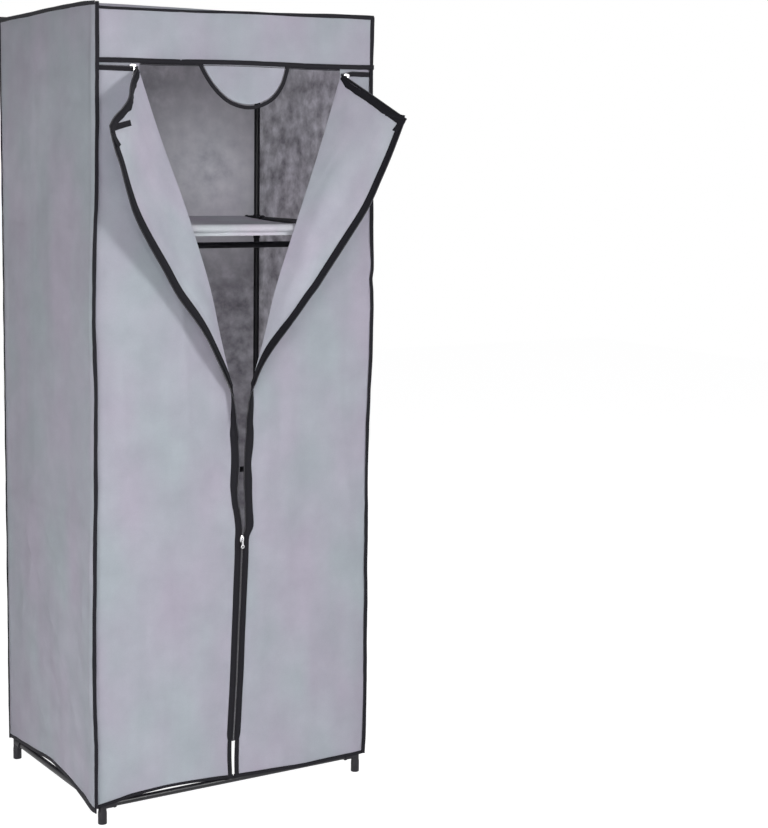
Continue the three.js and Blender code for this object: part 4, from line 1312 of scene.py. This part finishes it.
def seamBindings():
    pieces = []
    points = [(x, -238.9, curveAt(cover["frontSeam"], x)) for x in steps(-306, 310, 90)]

    # the front tape gets wider and climbs a little towards the right
    def frontSection(index):
        x = points[index][0]
        half = mix(2.6, 4.2, ease(40, 260, x)) * (1 + 0.15 * lumps(x, 0, 60, 60, 7))
        lift = mix(-0.5, 2.6, ease(0, 260, x))
        return tapeSection(lift - half, lift + half, -1.0, 1.0)
    pieces.append(makeStrip("front_seam_binding", straightStations(points, upward, toFront), frontSection,
                            bindingTape))
    for side, sign in sideSign.items():
        points = [(sign * 308.4, y, seamZ(side, y)) for y in steps(-240.5, 238, 80)]

        def sideSection(index, points=points, seed=12 + sign):
            half = 4.2 * (1 + 0.15 * lumps(points[index][1], 0, 60, 60, seed))
            return tapeSection(-half, half - 0.3, -1.0, 1.0)
        pieces.append(makeStrip(f"{side}_seam_binding", straightStations(points, upward, (sign, 0, 0)),
                                sideSection, bindingTape))
    half = 308
    points = [(x, 237.6, cover["backSeamZ"] + 0.3 * curveAt(cover["roofRise"], (x + half) / (2 * half)))
              for x in steps(-half, half, 80)]
    pieces.append(makeStrip("back_seam_binding", straightStations(points, upward, toBack),
                            tapeSection(-3.6, 3.8, -1.0, 1.0), bindingTape))
    return pieces


def hemBindings():
    pieces = []
    left, right = (cornerX("front", side, door["hemZ"]) for side in ("left", "right"))
    middle = zipCentre(door["hemZ"])
    spans = {"left": (left, middle - 1.2), "right": (middle + 1.2, right)}
    for side, (low, high) in spans.items():
        points = []
        for x in steps(low, high, 60):
            z = curveAt(cover["frontHem"], x)
            points.append((x, doorY(side, x, z) - 0.1, z))

        def doorSection(index, points=points):
            return tapeSection(-1.0, 6.6 - 1.6 * bell(points[index][0], -150, 90), -1.5, 0.9)
        pieces.append(makeStrip(f"{side}_door_hem", straightStations(points, upward, toFront),
                                doorSection, bindingTape))
    for side, sign in sideSign.items():
        points = []
        for y in steps(cover["frontY"], cover["backEdgeY"], 80):
            z = curveAt(cover[f"{side}Hem"], y)
            points.append((sign * (sideReach(side, y, z + 2) + 0.2), y, z))

        # at the left front corner the hem tape is drawn wider; the extra black width is painted shade,
        # standing for the shade inside the hem above the bottom rail
        def panelSection(index, points=points, side=side):
            y = points[index][1]
            paintedShadeWidth = 6.5 * bell(y, -180, 55) if side == "left" else 0
            return tapeSection(-1.0, 6.8 + paintedShadeWidth, -1.6, 0.8)
        pieces.append(makeStrip(f"{side}_panel_hem", straightStations(points, upward, (sign, 0, 0)),
                                panelSection, bindingTape))
    points = [(x, cover["backY"] + 0.4, curveAt(cover["backHem"], x))
              for x in steps(-cover["sideX"], cover["sideX"], 80)]
    pieces.append(makeStrip("back_panel_hem", straightStations(points, upward, toBack),
                            tapeSection(-1.0, 6.8, -1.6, 0.8), bindingTape))
    return pieces


# The valance's bottom edge, with the upper half of the zip where the door's corners are turned out
def valanceBinding():
    def edge(low, high, count, standOff, drop):
        return [(x, cover["frontY"] - standOff, curveAt(valance["bottom"], x) - drop)
                for x in steps(low, high, count)]

    binding = makeStrip("valance_binding", straightStations(edge(-307, 311, 90, 2.9, 0), upward, toFront),
                        tapeSection(-1.5, 7.6, -1.2, 0.9), bindingTape)
    low, high = door["centre"] - door["foldTopHalf"], door["centre"] + door["foldTopHalf"]
    tape = makeStrip("tape", straightStations(edge(low, high, 60, 1.2, 2.5), upward, toFront),
                     tapeSection(-2.6, 4, -0.7, 0.3, 0.2), zipTape)
    count = round((high - low) / zipper["pitch"] * 2)
    teeth = teethAlong(straightStations(edge(low, high, count, 1.2, 4.0), (0, 0, -1), toFront))
    return joined([binding, tape, teeth], "valance_binding")


backing = {"left": (-306, -216), "right": (232, 308), "y": -235.9, "bottom": 1474, "height": 29,
           "cloth": 0.6}


# A plain strip of cover cloth behind each of the two short zips under the valance
def zipBacking(side):
    (low, high), height = backing[side], backing["height"]
    return makeSheet(f"{side}_zip_backing", 20, 3,
                     lambda u, v: (mix(low, high, u), backing["y"], backing["bottom"] + height * v),
                     lambda u, v: (mix(low, high, u), height * v), backing["cloth"], coverOutside)


def makeTrim():
    pieces = [cornerBinding(row, side) for row in ("front", "back") for side in ("left", "right")]
    pieces += seamBindings() + hemBindings() + [valanceBinding(), zipBacking("left"), zipBacking("right")]
    for piece in pieces:
        ridingFrame(piece, "cover_cloth")
    return pieces


trim = makeTrim()
print("trim made")


# Half-moon tab: hangs from the valance over the place where the three zips meet. Its outline, seen from
# the front, leans to the right as in the photograph, and hangs down to a share of its drawn depth.

halfMoon = {
    "middle": (9.5, 1500), "y": -239.0, "depth": 86, "hangShare": 0.93, "belly": 1.6,
    "outline": [(-85.4, 1500), (-84.6, 1497), (-77.8, 1484.2), (-67.9, 1468.3), (-55.9, 1452.5),
                (-39.4, 1435.8), (-21.7, 1423.8), (0.6, 1416.2), (23.1, 1414.4), (45.6, 1419.4),
                (68.2, 1431.3), (84.1, 1447.5), (95.4, 1467.5), (102.1, 1489.3), (103.8, 1497),
                (104.3, 1500)],
}


def tabOutline(share):
    knots, topZ = halfMoon["outline"], halfMoon["middle"][1]
    place = share * (len(knots) - 1)
    x, z = (curveAt([(i, knot[axis]) for i, knot in enumerate(knots)], place) for axis in (0, 1))
    return x, topZ - halfMoon["hangShare"] * (topZ - z)


def tabY(x, z):
    drop = (halfMoon["middle"][1] - z) / halfMoon["depth"]
    return halfMoon["y"] - halfMoon["belly"] * drop * drop - 0.8 * lumps(x, z, 60, 60, 91) * drop


def makeHalfMoon():
    middleX, middleZ = halfMoon["middle"]

    def pointAt(u, v):
        x, z = tabOutline(u)
        x, z = mix(middleX, x, 1 - v), mix(middleZ, z, 1 - v)
        return (x, tabY(x, z), z)

    # the cloth ends under the middle of its binding
    def inset(u, v):
        return pointAt(u, mix(0.035, 1, v))

    cloth = makeSheet("half_moon_cloth", 60, 18, inset, lambda u, v: inset(u, v)[::2], cover["cloth"],
                      coverOutside)
    facesOutward(cloth)
    smoothed(cloth, 60)
    stations = []
    for share in steps(0, 1, 90):
        x, z = tabOutline(share)
        aheadX, aheadZ = tabOutline(min(1, share + 0.01))
        behindX, behindZ = tabOutline(max(0, share - 0.01))
        along = Vector((aheadX - behindX, 0, aheadZ - behindZ)).normalized()
        stations.append((Vector((x, tabY(x, z), z)), along.cross(Vector(toBack)), Vector(toFront)))
    binding = makeStrip("half_moon_binding", stations, tapeSection(-6.9, 0.2, -1.5, 0.9), bindingTape)
    for piece in (cloth, binding):
        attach(piece, "half_moon_tab")
    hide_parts("half_moon_tab")
    metres(cut["halfMoon"])


makeHalfMoon()
print("half-moon tab made")


# Zip sliders and their pulls

slider = {"width": 9, "length": 14, "plate": 1.7, "lift": 4.5, "y": -238.4, "lean": 2,
          "restX": {"left": -230, "right": 246}}


def sliderMaster():
    w, h = slider["width"] / 2, slider["length"] / 2
    outline = [(-w * 0.62, -h), (w * 0.62, -h), (w * 0.98, -h * 0.5), (w, h * 0.35), (w * 0.62, h * 0.9),
               (w * 0.3, h), (-w * 0.3, h), (-w * 0.62, h * 0.9), (-w, h * 0.35), (-w * 0.98, -h * 0.5)]
    body = outlineBody("slider", outline, 0.3, slider["plate"], 0.4)
    bridge = outlineBody("bridge", [(-1.2, -3.8), (1.2, -3.8), (1.2, 3.8), (-1.2, 3.8)], -1.2, 5.6, 0.6)
    hole = turnedBody("hole", [(1.4, -4), (1.4, 4)], 20)
    hole.data.transform(Matrix.Translation((0, -slider["lift"] * mm, 0)) @ alongX)
    combine(bridge, [hole], "DIFFERENCE")
    combine(body, [bridge], "UNION")
    return painted(smoothed(body, 35), silverZinc)


pull = {"tongue": [(-2.0, 1.4), (2.0, 1.4), (1.6, -3), (1.4, -8), (2.2, -12), (-2.2, -12), (-1.4, -8),
                   (-1.6, -3)],
        "thickness": 1.2, "edge": 0.3, "eyeZ": -15.6, "eye": 3.9, "eyeHoleZ": -15.8, "eyeHole": 2.1,
        "collar": 2.6, "collarHole": 1.3}


# A pull hangs from its ring: a waisted tongue between a small collar and a round eye
def pullMaster():
    p = pull
    half, edge = p["thickness"] / 2, p["edge"]
    tongue = outlineBody("pull", p["tongue"], half, p["thickness"], 0.25)
    eye = turnedBody("eye", [(p["eye"] - 0.4, -half), (p["eye"], edge - half), (p["eye"], half - edge),
                             (p["eye"] - 0.4, half)], 28)
    eye.data.transform(Matrix.Translation((0, 0, p["eyeZ"] * mm)) @ alongY)
    collar = turnedBody("collar", [(p["collar"] - 0.2, -half), (p["collar"], edge - half),
                                   (p["collar"], half - edge), (p["collar"] - 0.2, half)], 24)
    collar.data.transform(alongY)
    combine(tongue, [eye, collar], "UNION")
    eyeHole = turnedBody("hole", [(p["eyeHole"], -3), (p["eyeHole"], 3)], 24)
    eyeHole.data.transform(Matrix.Translation((0, 0, p["eyeHoleZ"] * mm)) @ alongY)
    collarHole = turnedBody("hole", [(p["collarHole"], -3), (p["collarHole"], 3)], 20)
    collarHole.data.transform(alongY)
    combine(tongue, [eyeHole, collarHole], "DIFFERENCE")
    return painted(smoothed(tongue, 35), silverZinc)


def makeSliders():
    sliderBody, pullBody = sliderMaster(), pullMaster()
    lean = Matrix.Rotation(math.radians(slider["lean"]), 4, "Y")

    # Where a slider sits on its zip, and its pull in front of it
    def placed(x, z):
        return (Matrix.Translation(at(x, slider["y"], z)),
                Matrix.Translation(at(x, slider["y"] - slider["lift"], z)))

    seat, hang = placed(door["centre"], door["sliderZ"])
    body = placedCopy(sliderBody, "centre_zip_slider", seat @ lean)
    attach(body, "centre_slider")
    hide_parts("centre_slider")
    tongue = placedCopy(pullBody, "centre_zip_pull", hang)
    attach(tongue, "centre_pull")
    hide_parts("centre_pull")
    for side, x in slider["restX"].items():
        seat, hang = placed(x, door["foldTopZ"])
        parts = [placedCopy(sliderBody, f"{side}_zip_slider", seat @ alongX),
                 placedCopy(pullBody, "pull", hang)]
        piece = joined(parts, f"{side}_zip_slider")
        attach(piece, f"{side}_slider")
        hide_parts(f"{side}_slider")
    bpy.data.objects.remove(sliderBody)
    bpy.data.objects.remove(pullBody)


makeSliders()
print("sliders made")


# Shelf cloth: a sleeve round the front and back shelf rails, a seam under each, and a sheet that sags

shelf = {"halfLength": 258, "ring": 7.6, "flap": 7.5, "span": 14, "sag": 9, "cloth": 0.8}


# The sheet's line from front to back, seen from the side: (y, z, share of the sag)
def shelfPath():
    railY, ring, flap = frameLines["postY"], shelf["ring"], shelf["flap"]

    def ringPoint(sign, degrees):
        angle = math.radians(degrees)
        return (sign * (railY + ring * math.cos(angle)), ring * math.sin(angle), 0)

    path = [(-railY + 3.0, -ring - flap, 0), (-railY + 2.8, -ring - flap / 2, 0),
            (-railY + 1.8, -ring - 0.8, 0)]
    path += [ringPoint(-1, degrees) for degrees in range(-80, 91, 14)]
    free = railY - shelf["span"]
    path += [(y, ring + 0.1, 1 - (y / railY) ** 2) for y in steps(-free, free, 28)]
    path += [ringPoint(1, degrees) for degrees in range(88, -83, -14)]
    path += [(railY - 0.8, -ring - 0.6, 0), (railY - 0.6, -ring - flap / 2, 0),
             (railY - 1.0, -ring - flap, 0)]
    return path


def makeShelfCloth():
    path, half, level = shelfPath(), shelf["halfLength"], frameLines["levels"]["shelf"]
    lengths = [0.0]
    for (fromY, fromZ, _), (toY, toZ, _) in zip(path, path[1:]):
        lengths.append(lengths[-1] + math.hypot(toY - fromY, toZ - fromZ))

    def stationOf(v):
        return round(v * (len(path) - 1))

    def pointAt(u, v):
        y, z, loose = path[stationOf(v)]
        x = mix(-half, half, u)
        sag = shelf["sag"] * loose * (1 + 0.25 * lumps(x, y, 160, 200, 95))
        ripple = 0.9 * lumps(x, y, 26, 240, 96) * loose
        flutter = 1.2 * lumps(x, z, 45, 60, 97) if z < -shelf["ring"] - 1 else 0
        return (x, y + flutter, level + z - sag + ripple)

    piece = makeSheet("shelf_sheet", 90, len(path) - 1, pointAt,
                      lambda u, v: (2 * half * u, lengths[stationOf(v)]), shelf["cloth"], shelfFabricPaintedLighter)
    ridingFrame(piece, "shelf_cloth", "shelf_cloth")
    metres((2 * half, lengths[-1]))


makeShelfCloth()
print("shelf cloth made")


# Works out each cover sheet's cut size in metres and goes through each door's bands; nothing is kept
def declareSheets():
    for side, panel in zip(sideSign, sidePanels):
        metres(cut["side"])
    metres(cut["back"])
    metres(cut["roof"])
    metres(cut["valance"])
    for side, (cloth, bands) in doors.items():
        metres(cut["door"])
        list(bands)
    for side in sideSign:
        low, high = backing[side]
        metres((high - low, backing["height"]))


declareSheets()


# Stage: pale floor, soft studio light and the photograph's camera

stage = {
    "floorMm": 14000, "floor": "#D9D9DC", "floorShown": "#A4A4A6", "floorGlow": 0.95, "world": 0.1,
    "aimZ": 800,
    "lamps": {  # place, width in metres and power in watts
        "key": ((1800, -4150, 2280), 1.1, 105), "front": ((-1550, -2900, 1850), 1.2, 30),
        "side": ((-2000, -1100, 240), 1.0, 37), "back": ((1700, 3700, 1700), 1.8, 26)},
}


# 1 where the camera looks, straight or by a mirror or through a clear thing, and 0 for all other light
def lookedAt(tree):
    path = addNode(tree, "LightPath")
    seen = addNode(tree, "Math", {0: path.outputs["Is Camera Ray"], 1: path.outputs["Is Glossy Ray"]},
                   operation="MAXIMUM")
    seenToo = addNode(tree, "Math", {0: seen.outputs[0], 1: path.outputs["Is Transmission Ray"]},
                      operation="MAXIMUM")
    return seenToo.outputs[0]


# The camera, and mirrors that look past the object, see a white studio; its shadow stays on the floor
def whiteFloor():
    material, tree = newMaterial("white studio floor")
    plain = addNode(tree, "BsdfDiffuse", {"Color": toLinear(stage["floor"])})
    catching = addNode(tree, "BsdfDiffuse", {"Color": toLinear(stage["floorShown"])})
    glow = addNode(tree, "Emission", {"Color": (1, 1, 1, 1), "Strength": stage["floorGlow"]})
    shown = addNode(tree, "AddShader", {0: catching.outputs[0], 1: glow.outputs[0]})
    both = addNode(tree, "MixShader", {0: lookedAt(tree), 1: plain.outputs[0], 2: shown.outputs[0]})
    addNode(tree, "OutputMaterial", {0: both.outputs[0]})
    return material


def makeStage():
    bpy.ops.mesh.primitive_plane_add(size=stage["floorMm"] * mm, location=(0, 0, -0.0005))
    floor = bpy.context.active_object
    floor.name = "studio_floor"
    painted(floor, whiteFloor())

    world = bpy.data.worlds.new("studio")
    bpy.context.scene.world = world
    world.use_nodes = True
    tree = world.node_tree
    tree.nodes.clear()
    strength = addNode(tree, "MapRange", {0: lookedAt(tree), 3: stage["world"], 4: 1.0})
    sky = addNode(tree, "Background", {"Color": (1, 1, 1, 1), "Strength": strength.outputs[0]})
    addNode(tree, "OutputWorld", {0: sky.outputs[0]})

    for name, (place, size, power) in stage["lamps"].items():
        bpy.ops.object.light_add(type="AREA", location=at(*place))
        lamp = bpy.context.active_object
        lamp.name = name + "_softbox"
        lamp.data.size = size
        lamp.data.energy = power
        aim = at(0, 0, stage["aimZ"]) - at(*place)
        lamp.rotation_euler = aim.to_track_quat("-Z", "Y").to_euler()


# Fitted to the photograph: place, turn and focal length in pixels of the 828 pixel tall frame
camera = {"place": (-1689.4, -3329.2, 1323.6), "yaw": 0.5834, "pitch": 0.1446, "roll": 0.0158,
          "focal": 1760.35, "frameHeight": 828, "sensor": 36, "farMetres": 60}


def makeCamera():
    yaw, pitch, roll = camera["yaw"], camera["pitch"], camera["roll"]
    forward = Vector((math.sin(yaw) * math.cos(pitch), math.cos(yaw) * math.cos(pitch), -math.sin(pitch)))
    level = Vector((math.cos(yaw), -math.sin(yaw), 0))
    upright = level.cross(forward)
    right = level * math.cos(roll) + upright * math.sin(roll)
    up = upright * math.cos(roll) - level * math.sin(roll)
    data = bpy.data.cameras.new("photograph")
    data.sensor_width = camera["sensor"]
    data.lens = camera["focal"] * camera["sensor"] / camera["frameHeight"]
    data.clip_end = camera["farMetres"]
    eye = bpy.data.objects.new("photograph", data)
    bpy.context.scene.collection.objects.link(eye)
    turn = Matrix((right, up, -forward)).transposed().to_4x4()
    eye.matrix_world = Matrix.Translation(at(*camera["place"])) @ turn
    bpy.context.scene.camera = eye


makeStage()
makeCamera()
bpy.context.scene.view_settings.view_transform = "Standard"
print("stage made")
